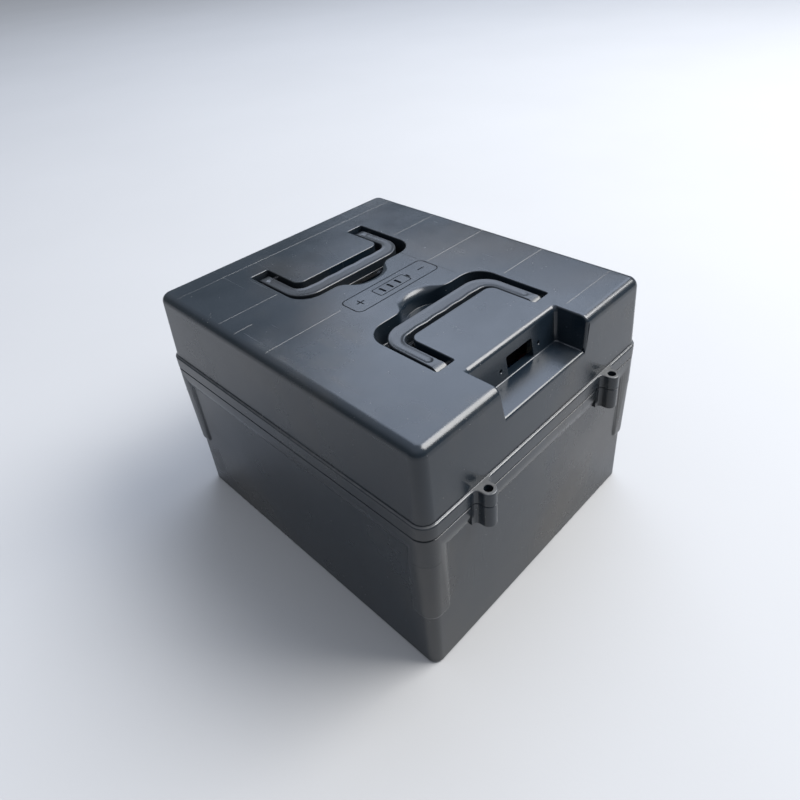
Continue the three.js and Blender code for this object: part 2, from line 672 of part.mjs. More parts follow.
function boardToBlockCable() {
  return cable([
    [-8, -36 - GAP, CABLE_Z], [-8, -44, CABLE_Z], [-BLOCK_STUD_X, -70, CABLE_Z],
    [-BLOCK_STUD_X, -90, CABLE_Z], [-BLOCK_STUD_X, BLOCK_BACK_Y, CABLE_Z]]);
}

// The sheet over the busbars, with a hole for each cable that rises from an end terminal.
function topSheet() {
  const sheet = box(-136, 136, -154, 154, SHEET_BOTTOM, SHEET_BOTTOM + SHEET_THICKNESS);
  const hole = (x) => box(
    x - 9, x + 9, END_TERMINAL_Y - 9, END_TERMINAL_Y + 9, SHEET_BOTTOM - 1, DECK_Z);
  return sheet.subtract(hole(-END_TERMINAL_X)).subtract(hole(END_TERMINAL_X));
}

// ---------------------------------------------------------------- materials and assembly

function finish(color, roughness, metalness) {
  return () => new THREE.MeshStandardMaterial({ color, roughness, metalness });
}

const blackPlastic = finish(0x23272b, 0.42, 0);
const handlePlastic = finish(0x2a2e33, 0.4, 0);
const sealRubber = finish(0x141516, 0.8, 0);
const foam = finish(0x2b2b2d, 0.95, 0);
const steel = finish(0x9a9da1, 0.35, 1);
const blackSteel = finish(0x1d1e20, 0.45, 1);
const brass = finish(0xb08d4a, 0.35, 1);
const aluminium = finish(0xb9bcc0, 0.4, 1);
const cellCan = finish(0x2f5f9e, 0.45, 0);
const epoxySheet = finish(0xc9bd84, 0.6, 0);
const circuitGreen = finish(0x1f5a3a, 0.5, 0);
const redCable = finish(0xa8221c, 0.55, 0);
const blackCable = finish(0x1a1a1b, 0.55, 0);
const fuseBody = finish(0x2a2a2b, 0.5, 0);

const pack = new THREE.Group();

function place(name, shape, material, x = 0, y = 0, z = 0, turn = 0) {
  const mesh = new THREE.Mesh(geometryOf(shape), material());
  mesh.name = name;
  mesh.position.set(x, y, z);
  mesh.rotation.z = turn;
  pack.add(mesh);
}

place('base_tub', baseTub(), blackPlastic);
place('lid_shell', lidShell(), blackPlastic);
place('seal_gasket', sealGasket(), sealRubber);

const CORNERS = [
  ['front_left', -1, -1], ['front_right', 1, -1], ['rear_left', -1, 1], ['rear_right', 1, 1]];
const pinX = (ISLAND_HALF_X + RECESS_HALF_X) / 2;
for (const [corner, sideX, sideY] of CORNERS) {
  place(`lid_screw_${corner}`, lidScrew(), blackSteel, sideX * BOSS_X, sideY * BOSS_Y);
  place(`boss_insert_${corner}`, bossInsert(), brass, sideX * BOSS_X, sideY * BOSS_Y);
  place(`handle_pin_${corner}`, handlePin(), steel, sideX * pinX, sideY * PIVOT_OUT, pivotZ());
}

place('handle_front', frontHandle(), handlePlastic);
place('handle_rear', frontHandle(), handlePlastic, 0, 0, 0, Math.PI);

place('floor_foam_pad', box(-134, 134, -156, 156, BASE_FLOOR + GAP, CELL_BOTTOM - GAP), foam);

// Cell 1 is at the front of the left row; the series runs back along it and forward along the right.
for (let i = 0; i < 2 * CELLS_PER_ROW; i += 1) {
  const row = i < CELLS_PER_ROW ? -1 : 1;
  const step = row < 0 ? i : 2 * CELLS_PER_ROW - 1 - i;
  const y = (step - (CELLS_PER_ROW - 1) / 2) * CELL_PITCH;
  const number = String(i + 1).padStart(2, '0');
  place(`cell_${number}`, cell(), cellCan, row * ROW_X, y);
  if (i === CELLS_PER_ROW - 1) {
    place(`busbar_${number}`, busbar(2 * END_TERMINAL_X), aluminium, 0, y, 0, Math.PI / 2);
  } else if (i < 2 * CELLS_PER_ROW - 1) {
    const alternate = i % 2 === 0 ? 1 : -1;
    const x = row * (ROW_X + alternate * TERMINAL_OFFSET);
    place(`busbar_${number}`, busbar(CELL_PITCH), aluminium, x, y - row * CELL_PITCH / 2);
  }
}

const rowEnd = CELLS_PER_ROW * CELL_PITCH / 2 + 0.4;
place('end_plate_front', endPlate(), aluminium, 0, -rowEnd, 0, Math.PI);
place('end_plate_rear', endPlate(), aluminium, 0, rowEnd);
place('centre_insulation_sheet', box(-0.6, 0.6, -146, 146, CELL_BOTTOM, CELL_BOTTOM + 176), epoxySheet);
place('top_insulation_sheet', topSheet(), epoxySheet);

place('bms_heat_sink', heatSink(), aluminium);
place('bms_board', managementBoard(), circuitGreen);
place('main_fuse', mainFuse(), fuseBody, FUSE_X, BLOCK_Y, 0, Math.PI / 2);
place('output_terminal_block', terminalBlock(), blackPlastic, 0, BLOCK_Y);
place('cable_cells_to_fuse', cellsToFuseCable(), redCable);
place('cable_cells_to_board', cellsToBoardCable(), blackCable);
place('cable_board_to_block', boardToBlockCable(), blackCable);

export default pack;
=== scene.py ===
import json
import math

import bpy
from mathutils import Matrix, Vector


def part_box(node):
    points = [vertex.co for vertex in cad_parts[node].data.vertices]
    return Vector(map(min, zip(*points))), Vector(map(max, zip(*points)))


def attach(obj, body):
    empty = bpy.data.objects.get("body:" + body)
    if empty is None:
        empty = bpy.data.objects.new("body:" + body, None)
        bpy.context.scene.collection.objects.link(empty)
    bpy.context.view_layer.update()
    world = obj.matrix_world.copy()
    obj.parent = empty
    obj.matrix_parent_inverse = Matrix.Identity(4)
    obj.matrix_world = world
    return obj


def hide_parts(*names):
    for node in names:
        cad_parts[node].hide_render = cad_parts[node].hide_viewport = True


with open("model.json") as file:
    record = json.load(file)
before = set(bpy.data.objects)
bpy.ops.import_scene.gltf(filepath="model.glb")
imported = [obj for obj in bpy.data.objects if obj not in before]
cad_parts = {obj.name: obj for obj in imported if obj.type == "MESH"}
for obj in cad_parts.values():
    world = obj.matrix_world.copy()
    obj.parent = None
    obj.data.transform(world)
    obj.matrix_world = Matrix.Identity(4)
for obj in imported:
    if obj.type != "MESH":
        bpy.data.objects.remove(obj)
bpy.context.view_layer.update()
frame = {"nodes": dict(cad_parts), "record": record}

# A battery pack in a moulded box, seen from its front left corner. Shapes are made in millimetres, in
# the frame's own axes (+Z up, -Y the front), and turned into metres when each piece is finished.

MM = 0.001
PAST = 0.01                         # how far a cutter's rounded edge reaches past the surface
SHARP_ANGLE = 32                    # edges with a greater angle, in degrees, stay sharp

# Sizes that the frame gives, in millimetres
lid_low, lid_high = (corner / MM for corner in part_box("lid_shell"))
base_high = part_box("base_tub")[1] / MM
handle_low, handle_high = (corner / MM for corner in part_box("handle_front"))
HEIGHT = lid_high.z
SEAM_TOP = lid_low.z
SEAM_BOTTOM = base_high.z
HANDLE_TOP = handle_high.z
HANDLE_BOTTOM = handle_low.z
LEG_OUTER_X = handle_high.x
GRIP_OUT_NEAR = -handle_high.y

# Case, both halves
LID_DRAFT = 1.65                    # how much further out the lid's wall stands at the flange
FLANGE_PROUD = 2.2                  # flange beyond the lid's wall
HALF_X = lid_high.x - LID_DRAFT - FLANGE_PROUD
HALF_Y = 174.7
CORNER_RADIUS = 10.5
CORNER_STEPS = 14
GAP = 0.3                           # play between pieces that fit together

# Lid
LID_WALL = 3
TOP_FILLET = 9
FLANGE_TOP = 176
FLANGE_ROUND = 1.8
FLANGE_COVE = 0.4                   # hollow rounding between the flange and the wall above it

# Base
BASE_WALL = 3.5
BASE_FLOOR = 4
BASE_FOOT_INSET = 0.9
BASE_FOOT_ROUND = 2.5
RIM_PROUD = 3.6
RIM_SLOPE_TOP = 159
RIM_SLOPE_BOTTOM = 141
POST_BOTTOM = 64
POST_PROUD_BOTTOM = 1.6
POST_WIDTH = 23.5
POST_END_RADIUS = 7.5
CORNER_LINE_Z = 132                 # fine moulded line round each upright corner
CORNER_LINE_REACH = 12
SEAL_INSET = 0.5
SEAL_WIDTH = 2
SEAL_DEPTH = 2.4

# Screw bosses; each corner is its sides of the pack along X and Y
CORNERS = {"front_left": (-1, -1), "front_right": (1, -1), "rear_left": (-1, 1), "rear_right": (1, 1)}
BOSS_X = 90
BOSS_Y = 185
BOSS_RADIUS = 7
BOSS_FOOT_HALF = 12.5
BOSS_BOTTOM = 140
COUNTERBORE_RADIUS = 3.7
COUNTERBORE_Z = 166
SCREW_RADIUS = 2
SCREW_HEAD_RADIUS = 3.4
SCREW_HEAD_HEIGHT = 4
SCREW_LENGTH = 14
SOCKET_RADIUS = 1.7
THREAD_PITCH = 0.7
THREAD_DEPTH = 0.3
INSERT_RADIUS = 3
INSERT_LENGTH = 10
KNURL_RIBS = 28
KNURL_DEPTH = 0.14

# Handle recesses; "out" is the distance from the middle of the lid along Y
RECESS_HALF_X = 74.3
RECESS_OUT_NEAR = 41
RECESS_OUT_FAR = 124
RECESS_DEPTH = 22
RECESS_CORNER = 22
RECESS_EDGE_ROUND = 1.1
ISLAND_HALF_X = 54
ISLAND_OUT = 74.5
ISLAND_CORNER = 9
TRAY_WALL = 2.5
TRAY_TOP = HEIGHT - 1.5
DISH_HALF_X = 36
DISH_OUT = 28
DISH_DEPTH = 17
DISH_FLOOR_ROUND = 0.4
DISH_ROUND = 8.5
DISH_ROUND_FADE = 11                # over how far the broad edge fades to the recess's fine one

# Handles
LEG_INNER_X = 57.9
GRIP_OUT_FAR = 68
HANDLE_OUTER_RADIUS = 25
HANDLE_INNER_RADIUS = 11
HANDLE_ROUND = 1.5
FINGER_WAVES = 4
WAVE_HEIGHT = 0.8
LIP_PROUD = 0.4                     # fine lip round the handle's lower edge
HOLLOW_INSET = 1.8                  # from the handle's outline to the hollow in its top
PIVOT_OUT = 115.5
BARREL_BROW = 10                    # how far the barrel's upper rounding reaches along the leg
DIMPLE_OUT = 9.5                    # from the pivot to the dimple in each leg
PIVOT_Z = (HANDLE_TOP + HANDLE_BOTTOM) / 2
PIN_RADIUS = 2
PIN_X = (ISLAND_HALF_X + RECESS_HALF_X) / 2

# Notch in the front top edge, and its window
NOTCH_HALF_TOP = 60
NOTCH_HALF_SHELF = 55
NOTCH_Y_TOP = -141
NOTCH_Y_SHELF = -146
NOTCH_SHELF_Z = 215.5
NOTCH_LIP = 5
NOTCH_SIDE_LIP = 1.6
NOTCH_COVE = 1.2
NOTCH_FRONT_ROUND = 2.5
NOTCH_CORNER = 4
WINDOW_X = 5
WINDOW_WIDTH = 35
WINDOW_TOP = 234
WINDOW_BOTTOM = 216.5
WINDOW_CORNER = 1.6
WINDOW_EDGE = 0.7
WINDOW_SCREW_SPACING = 52.4
WINDOW_SCREW_RADIUS = 1.5

# Centre plate between the two handles, and the signs on it
PLATE_HALF_X = 53
PLATE_HALF_Y = 13.5
PLATE_CORNER = 6
BATTERY_HALF_X = 20
BATTERY_HALF_Y = 7
BATTERY_CORNER = 2
BAR_SPACING = 10
SIGN_X = 40
SIGN_HALF = 4
STROKE_WIDTH = 1.4
STROKE_DEPTH = 1.2


# ------------------------ outlines, in millimetres
# An outline is a list of (x, y) points, anticlockwise.

def arc(x, y, radius, start, end, steps=CORNER_STEPS):
    """Points along an arc from one angle to another, in degrees."""
    angles = [math.radians(start + (end - start) * i / steps) for i in range(steps + 1)]
    return [(x + radius * math.cos(a), y + radius * math.sin(a)) for a in angles]


def rounded_rect(half_x, half_y, radius, steps=CORNER_STEPS):
    """A rectangle with round corners, centred on the origin."""
    x, y = half_x - radius, half_y - radius
    return (arc(x, y, radius, 0, 90, steps) + arc(-x, y, radius, 90, 180, steps)
            + arc(-x, -y, radius, 180, 270, steps) + arc(x, -y, radius, 270, 360, steps))


def mirrored(outline):
    """The outline's mirror image across the YZ plane, still anticlockwise when it is closed."""
    return [(-x, y) for x, y in reversed(outline)]


def bezier(a, b, c, d, steps):
    """Points along a cubic curve from a to d."""
    points = []
    for i in range(steps + 1):
        t = i / steps
        weights = ((1 - t) ** 3, 3 * t * (1 - t) ** 2, 3 * t * t * (1 - t), t ** 3)
        points.append(tuple(sum(w * p[k] for w, p in zip(weights, (a, b, c, d))) for k in (0, 1)))
    return points


def offset(outline, distance):
    """Moves each side outwards by a distance, which may be one number or one for each point."""
    count = len(outline)
    distances = distance if isinstance(distance, list) else [distance] * count
    normals = []
    for i in range(count):
        (x0, y0), (x1, y1) = outline[i], outline[(i + 1) % count]
        length = math.hypot(x1 - x0, y1 - y0)
        normals.append(((y1 - y0) / length, (x0 - x1) / length))
    shifted = []
    for i, (x, y) in enumerate(outline):
        (ax, ay), (bx, by) = normals[i - 1], normals[i]
        share = distances[i] / (1 + ax * bx + ay * by)
        shifted.append((x + (ax + bx) * share, y + (ay + by) * share))
    return shifted


def smooth(t):
    """Runs from 0 to 1 with soft ends."""
    t = min(1.0, max(0.0, t))
    return t * t * (3 - 2 * t)


def quarter_turn(steps):
    """Angles from 0 to 90 degrees, in radians."""
    return [math.radians(90 * i / steps) for i in range(steps + 1)]


# ------------------------ solids, in millimetres

def skin(rings):
    """A closed solid through rings of (x, y, z) points with equal counts, lowest first."""
    count = len(rings[0])
    points = [point for ring in rings for point in ring]
    faces = [tuple(reversed(range(count)))]
    for level in range(len(rings) - 1):
        start = level * count
        for i in range(count):
            a, b = start + i, start + (i + 1) % count
            faces.append((a, b, b + count, a + count))
    faces.append(tuple(range(len(points) - count, len(points))))
    mesh = bpy.data.meshes.new("solid")
    mesh.from_pydata(points, [], faces)
    piece = bpy.data.objects.new("solid", mesh)
    bpy.context.scene.collection.objects.link(piece)
    return piece


def loft(outline, levels):
    """A skin through one outline; each level is (z, outward offset)."""
    return skin([[(x, y, z) for x, y in offset(outline, grow)] for z, grow in levels])


def prism(outline, z0, z1):
    return loft(outline, [(z0, 0), (z1, 0)])


def block(x0, x1, y0, y1, z0, z1):
    return prism([(x0, y0), (x1, y0), (x1, y1), (x0, y1)], z0, z1)


def lathe(profile, steps=40):
    """A solid of revolution about Z; the profile is (radius, z) pairs from its bottom to its top."""
    return skin([[(r * math.cos(2 * math.pi * i / steps), r * math.sin(2 * math.pi * i / steps), z)
                  for i in range(steps)] for r, z in profile])


def moved(piece, matrix):
    """Moves a piece's mesh, and flips it where the matrix mirrors."""
    piece.data.transform(matrix)
    if matrix.determinant() < 0:
        piece.data.flip_normals()
    return piece


# ALONG_X turns X, Y and Z into Y, Z and X; ALONG_MINUS_Y turns Y into Z and Z into -Y
ALONG_X = Matrix(((0, 0, 1, 0), (1, 0, 0, 0), (0, 1, 0, 0), (0, 0, 0, 1)))
ALONG_MINUS_Y = Matrix(((1, 0, 0, 0), (0, 0, -1, 0), (0, 1, 0, 0), (0, 0, 0, 1)))
HALF_TURN = Matrix.Rotation(math.pi, 4, "Z")


def twin(piece, matrix):
    """A moved copy of a piece."""
    copy = bpy.data.objects.new(piece.name, piece.data.copy())
    bpy.context.scene.collection.objects.link(copy)
    return moved(copy, matrix)


def combined(piece, tool, operation):
    """Joins, cuts or intersects a piece with a tool, which is used up."""
    modifier = piece.modifiers.new("combine", "BOOLEAN")
    modifier.operation = operation
    modifier.solver = "MANIFOLD"
    modifier.object = tool
    bpy.context.view_layer.update()
    shape = piece.evaluated_get(bpy.context.evaluated_depsgraph_get())
    result = bpy.data.meshes.new_from_object(shape)
    piece.modifiers.clear()
    piece.data = result
    bpy.data.objects.remove(tool)
    return piece


def join(piece, *tools):
    for tool in tools:
        combined(piece, tool, "UNION")
    return piece


def cut(piece, *tools):
    for tool in tools:
        combined(piece, tool, "DIFFERENCE")
    return piece


def common(piece, *tools):
    for tool in tools:
        combined(piece, tool, "INTERSECT")
    return piece


def front_and_back(piece):
    """A piece made at the front, joined with its copy at the back."""
    return join(piece, twin(piece, HALF_TURN))


def on_four_bosses(piece):
    """A piece made on the Z axis, copied to the four screw bosses."""
    copies = [twin(piece, Matrix.Translation((side_x * BOSS_X, side_y * BOSS_Y, 0)))
              for side_x, side_y in CORNERS.values()]
    bpy.data.objects.remove(piece)
    return join(*copies)


def rounded_top(radius, z_edge, grow_edge, steps):
    """Levels of a convex rounding that ends at height z_edge."""
    return [(z_edge - radius * (1 - math.sin(a)), grow_edge - radius * (1 - math.cos(a)))
            for a in quarter_turn(steps)]


def rounded_bottom(radius, z_edge, steps):
    """Levels of a convex rounding that starts at height z_edge."""
    return [(2 * z_edge - z, grow) for z, grow in reversed(rounded_top(radius, z_edge, 0, steps))]


def finished(piece, name, body, slot, replaced, angle=SHARP_ANGLE):
    """Turns a piece into metres, gives it its shading, its slot's material and its place in the frame."""
    piece.name = name
    mesh = piece.data
    mesh.name = name
    mesh.transform(Matrix.Scale(MM, 4))
    mesh.polygons.foreach_set("use_smooth", [True] * len(mesh.polygons))
    mesh.set_sharp_from_angle(angle=math.radians(angle))
    mesh.materials.clear()
    mesh.materials.append(LOOKS[slot])
    normals = piece.modifiers.new("face_weighted_normals", "WEIGHTED_NORMAL")
    normals.keep_sharp = True
    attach(piece, body)
    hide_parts(*replaced)
    return piece


# ------------------------ bosses

def ear_outline():
    """The ear's outline at the front, centred on its screw, with the sides sweeping into the flange."""
    reach = BOSS_Y - HALF_Y - LID_DRAFT - FLANGE_PROUD
    right = bezier((BOSS_FOOT_HALF, reach), (BOSS_FOOT_HALF * 0.6, reach),
                   (BOSS_RADIUS, reach * 0.7), (BOSS_RADIUS, 0), 12)
    end = arc(0, 0, BOSS_RADIUS, 0, -180, 28)[1:-1]
    root = reach + 6
    outline = right + end + mirrored(right) + [(-BOSS_FOOT_HALF, root), (BOSS_FOOT_HALF, root)]
    return outline[::-1]


def ears(z0, z1, round_bottom, round_top):
    """The four ears between two heights, with their edges rounded."""
    ear = loft(ear_outline(), rounded_bottom(round_bottom, z0, 4) + rounded_top(round_top, z1, 0, 5))
    pair = join(twin(ear, Matrix.Translation((-BOSS_X, -BOSS_Y, 0))),
                twin(ear, Matrix.Translation((BOSS_X, -BOSS_Y, 0))))
    bpy.data.objects.remove(ear)
    return front_and_back(pair)


# ------------------------ base

def corner_strips(half, turn):
    """Two strips as wide as the corner posts, with round lower ends and sides that slope away softly."""
    other = HALF_X if turn is ALONG_X else HALF_Y
    face = other - BASE_FOOT_INSET
    # The side's slope: height above the wall, and distance in from the strip's foot
    slope = [(0, 0), (0.9, 1.3), (1.9, 3.1), (2.7, 5.0), (3.4, 7.3), (4.0, 10), (4.8, 13.5)]
    rings = []
    for rise, inset in slope:
        x, z = half - POST_WIDTH + inset, POST_BOTTOM - 0.5 + inset * 0.1
        radius = POST_END_RADIUS - inset * 0.4
        outline = arc(x + radius, z + radius, radius, 180, 270)
        outline += [(half + 10, z), (half + 10, SEAM_BOTTOM + 4), (x, SEAM_BOTTOM + 4)]
        rings.append((face + rise, outline))
    strips = []
    for side in (1, -1):
        layers = []
        for level, outline in [(-level, outline) for level, outline in reversed(rings)] + rings:
            points = outline if side > 0 else mirrored(outline)
            layers.append([(x, y, level) for x, y in points])
        strips.append(moved(skin(layers), turn))
    return join(*strips)


def seal_groove():
    """The cutter of the groove that the seal lies in."""
    outline = rounded_rect(HALF_X, HALF_Y, CORNER_RADIUS)
    half = SEAL_WIDTH / 2 + GAP
    z0, z1 = SEAM_BOTTOM - SEAL_DEPTH, SEAM_BOTTOM + 2
    outer = prism(offset(outline, half - SEAL_INSET), z0, z1)
    inner = prism(offset(outline, -half - SEAL_INSET), z0 - 1, z1 + 1)
    return cut(outer, inner)


def corner_line():
    """A fine moulded bead round the upright corners."""
    outline = rounded_rect(HALF_X, HALF_Y, CORNER_RADIUS)
    climb = (CORNER_LINE_Z - POST_BOTTOM - 4) / (RIM_SLOPE_BOTTOM - POST_BOTTOM - 4)
    proud = POST_PROUD_BOTTOM + (RIM_PROUD - POST_PROUD_BOTTOM) * climb
    bead = loft(outline, [(CORNER_LINE_Z - 0.3, proud - 0.1), (CORNER_LINE_Z - 0.1, proud + 0.2),
                          (CORNER_LINE_Z + 0.1, proud + 0.24), (CORNER_LINE_Z + 1.1, proud - 0.1)])
    cut(bead, prism(offset(outline, -0.5), CORNER_LINE_Z - 2, CORNER_LINE_Z + 2))
    corners = []
    for x in (-HALF_X, HALF_X):
        for y in (-HALF_Y, HALF_Y):
            corners.append(block(x - CORNER_LINE_REACH, x + CORNER_LINE_REACH, y - CORNER_LINE_REACH,
                                 y + CORNER_LINE_REACH, CORNER_LINE_Z - 4, CORNER_LINE_Z + 4))
    return common(bead, join(*corners))


# The rim's upper edge is rounded and then set back, which leaves a shadow gap under the lid
SEAM_EDGE = [(SEAM_BOTTOM - 1.6, RIM_PROUD), (SEAM_BOTTOM - 1.3, RIM_PROUD - 0.1),
             (SEAM_BOTTOM - 1.1, RIM_PROUD - 0.35), (SEAM_BOTTOM - 1, RIM_PROUD - 0.9),
             (SEAM_BOTTOM, RIM_PROUD - 1)]


def base_tub():
    """The tub: drafted panels with a round foot, the sloping rim, the corner posts and the lower ears."""
    outline = rounded_rect(HALF_X, HALF_Y, CORNER_RADIUS)
    foot = [(BASE_FOOT_ROUND - BASE_FOOT_ROUND * math.cos(a), -BASE_FOOT_INSET - 2 * (1 - math.sin(a)))
            for a in quarter_turn(6)]
    panels = loft(outline, foot + [(SEAM_BOTTOM - 0.4, 0.4), (SEAM_BOTTOM, 0)])
    rim = loft(outline, [
        (RIM_SLOPE_BOTTOM - 1.2, -0.5), (RIM_SLOPE_BOTTOM, 0.15), (RIM_SLOPE_BOTTOM + 2, 1.1),
        (RIM_SLOPE_BOTTOM + 5, 2.1), (RIM_SLOPE_BOTTOM + 9, 3.0), (RIM_SLOPE_BOTTOM + 13, 3.45),
        (RIM_SLOPE_TOP + 1.5, RIM_PROUD)] + SEAM_EDGE)
    raised = loft(outline, [
        (POST_BOTTOM - 1, -0.8), (POST_BOTTOM + 0.4, 0.4), (POST_BOTTOM + 2, POST_PROUD_BOTTOM - 0.3),
        (POST_BOTTOM + 4, POST_PROUD_BOTTOM), (RIM_SLOPE_BOTTOM, RIM_PROUD)] + SEAM_EDGE)
    posts = common(raised, corner_strips(HALF_X, ALONG_MINUS_Y), corner_strips(HALF_Y, ALONG_X))
    inside = -BASE_FOOT_INSET - BASE_WALL
    cavity = loft(outline, [(BASE_FLOOR, inside - 2), (BASE_FLOOR + 0.6, inside - 0.6),
                            (BASE_FLOOR + 2, inside), (SEAM_BOTTOM + 2, 0.4 - BASE_WALL)])
    hole = INSERT_RADIUS + GAP
    holes = on_four_bosses(lathe([(hole, SEAM_BOTTOM - INSERT_LENGTH - 4), (hole, SEAM_BOTTOM + 1)]))
    lower_ears = ears(BOSS_BOTTOM, SEAM_BOTTOM, round_bottom=1.2, round_top=0.5)
    tub = join(panels, rim, posts, corner_line(), lower_ears)
    cut(tub, cavity, seal_groove(), holes)
    return finished(tub, "base_tub_moulding", "case", "case_plastic", ["base_tub"])


# ------------------------ lid

def lid_outer():
    """The lid without its openings: the flange, the leaning wall and the rounded top edge."""
    wall = LID_DRAFT
    levels = [(SEAM_TOP, wall + FLANGE_PROUD - 0.4), (SEAM_TOP + 0.4, wall + FLANGE_PROUD)]
    levels += rounded_top(FLANGE_ROUND, FLANGE_TOP, wall + FLANGE_PROUD, 6)
    for a in quarter_turn(4)[1:]:
        levels.append((FLANGE_TOP + FLANGE_COVE * (1 - math.cos(a)), wall + FLANGE_COVE * (1 - math.sin(a))))
    levels += rounded_top(TOP_FILLET, HEIGHT, 0, 12)
    return loft(rounded_rect(HALF_X, HALF_Y, CORNER_RADIUS), levels)


def lid_cavity():
    """The cutter of the space inside the lid."""
    return loft(rounded_rect(HALF_X, HALF_Y, CORNER_RADIUS), [
        (SEAM_TOP - 1, LID_DRAFT - LID_WALL), (HEIGHT - TOP_FILLET, -LID_WALL),
        (HEIGHT - LID_WALL - 2, -LID_WALL - 2.2), (HEIGHT - LID_WALL, -TOP_FILLET)])


def recess_outline():
    """The U-shaped recess at the front, with its legs pointing to the front."""
    near = -RECESS_OUT_NEAR - RECESS_CORNER
    end_round = 2
    far = -RECESS_OUT_FAR + end_round
    right = arc(RECESS_HALF_X - end_round, far, end_round, -90, 0, 5)
    right += arc(RECESS_HALF_X - RECESS_CORNER, near, RECESS_CORNER, 0, 90, 18)
    island = arc(ISLAND_HALF_X - ISLAND_CORNER, -ISLAND_OUT - ISLAND_CORNER, ISLAND_CORNER, 90, 0, 12)
    island += arc(ISLAND_HALF_X + end_round, far, end_round, 180, 270, 5)
    return right + mirrored(right) + mirrored(island) + island


def recess_channel():
    """The cutter of the channel that a folded handle lies in."""
    floor = HEIGHT - RECESS_DEPTH
    floor_round = 1.5
    levels = [(floor + floor_round * (1 - math.cos(a)), -floor_round * (1 - math.sin(a)))
              for a in quarter_turn(5)]
    levels += flare(RECESS_EDGE_ROUND, 5)
    return loft(recess_outline(), levels)


def flare(radius, steps):
    """Levels of a cutter that leaves a rounded edge of one radius on the lid's top."""
    levels = [(HEIGHT - radius * (1 - math.sin(a)), radius * (1 - math.cos(a))) for a in quarter_turn(steps)]
    levels[-1] = (HEIGHT + PAST, radius)
    return levels + [(HEIGHT + 2, radius)]


def dish_outline():
    """The finger dish: a bell-shaped bay on the recess's side nearest the middle of the lid."""
    bell = bezier((DISH_HALF_X, -RECESS_OUT_NEAR), (DISH_HALF_X * 0.62, -RECESS_OUT_NEAR + 1),
                  (DISH_HALF_X * 0.5, -DISH_OUT), (0, -DISH_OUT), 20)
    back = -RECESS_OUT_NEAR - 6
    return [(DISH_HALF_X, back)] + bell + mirrored(bell)[1:] + [(-DISH_HALF_X, back)]


def finger_dish():
    """The dish's cutter. Its edge is broad in the middle and as fine as the recess's at its ends."""
    outline = dish_outline()
    rounds = [RECESS_EDGE_ROUND
              + (DISH_ROUND - RECESS_EDGE_ROUND) * smooth((y + RECESS_OUT_NEAR) / DISH_ROUND_FADE)
              for x, y in outline]
    rings = []
    for a in quarter_turn(5):
        floor = HEIGHT - DISH_DEPTH + DISH_FLOOR_ROUND * (1 - math.cos(a))
        inset = offset(outline, -DISH_FLOOR_ROUND * (1 - math.sin(a)) - 0.8)
        rings.append([(x, y, floor) for x, y in inset])
    for a in quarter_turn(9):
        ring = offset(outline, [r * (1 - math.cos(a)) for r in rounds])
        rings.append([(x, y, HEIGHT - r * (1 - math.sin(a))) for (x, y), r in zip(ring, rounds)])
    rings[-1] = [(x, y, HEIGHT + PAST) for x, y, z in rings[-1]]
    rings.append([(x, y, HEIGHT + 2) for x, y, z in rings[-1]])
    return skin(rings)


def edge_rounder(y, z, radius, before, reach, steps):
    """The cutter that rounds an edge along X which faces the front; before is how far it starts in front."""
    curve = arc(y + radius, z - radius, radius, 180, 90, steps)
    profile = [(y - before, z - radius)] + curve + [(y + radius, z + 3), (y - before, z + 3)]
    return moved(prism(profile, -reach, reach), ALONG_X)


def dish_ledge():
    """Rounds the edge where the dish's floor drops into the channel."""
    return edge_rounder(-RECESS_OUT_NEAR, HEIGHT - DISH_DEPTH, radius=1.2, before=3,
                        reach=DISH_HALF_X - 9, steps=6)


def recess_tray():
    """The walls and floor under a recess and its dish, before they are hollowed."""
    channel = prism(offset(recess_outline(), TRAY_WALL), HEIGHT - RECESS_DEPTH - TRAY_WALL, TRAY_TOP)
    dish = prism(offset(dish_outline(), TRAY_WALL), HEIGHT - DISH_DEPTH - TRAY_WALL, TRAY_TOP)
    return join(channel, dish)


def lid_face(z):
    """How far the lid's wall stands outside its top outline at a height."""
    if z > HEIGHT - TOP_FILLET:
        rise = min(1.0, (z - HEIGHT + TOP_FILLET) / TOP_FILLET)
        return -TOP_FILLET * (1 - math.sqrt(1 - rise * rise))
    return LID_DRAFT * (HEIGHT - TOP_FILLET - z) / (HEIGHT - TOP_FILLET - FLANGE_TOP)


def notch_ring(z, side_round, back_round):
    """The notch's outline at one height: side walls, a round back corner, and flared front edges."""
    lean = (z - NOTCH_SHELF_Z) / (HEIGHT - NOTCH_SHELF_Z)
    wall = NOTCH_HALF_SHELF + (NOTCH_HALF_TOP - NOTCH_HALF_SHELF) * lean + side_round
    back = NOTCH_Y_SHELF + (NOTCH_Y_TOP - NOTCH_Y_SHELF) * lean + back_round
    front = -HALF_Y - lid_face(z)
    right = [(wall + NOTCH_FRONT_ROUND, -HALF_Y - 20)]
    right += arc(wall + NOTCH_FRONT_ROUND, front + NOTCH_FRONT_ROUND, NOTCH_FRONT_ROUND, 270, 180, 6)
    right += arc(wall - NOTCH_CORNER, back - NOTCH_CORNER, NOTCH_CORNER, 0, 90, 8)
    return [(x, y, z) for x, y in right + mirrored(right)]


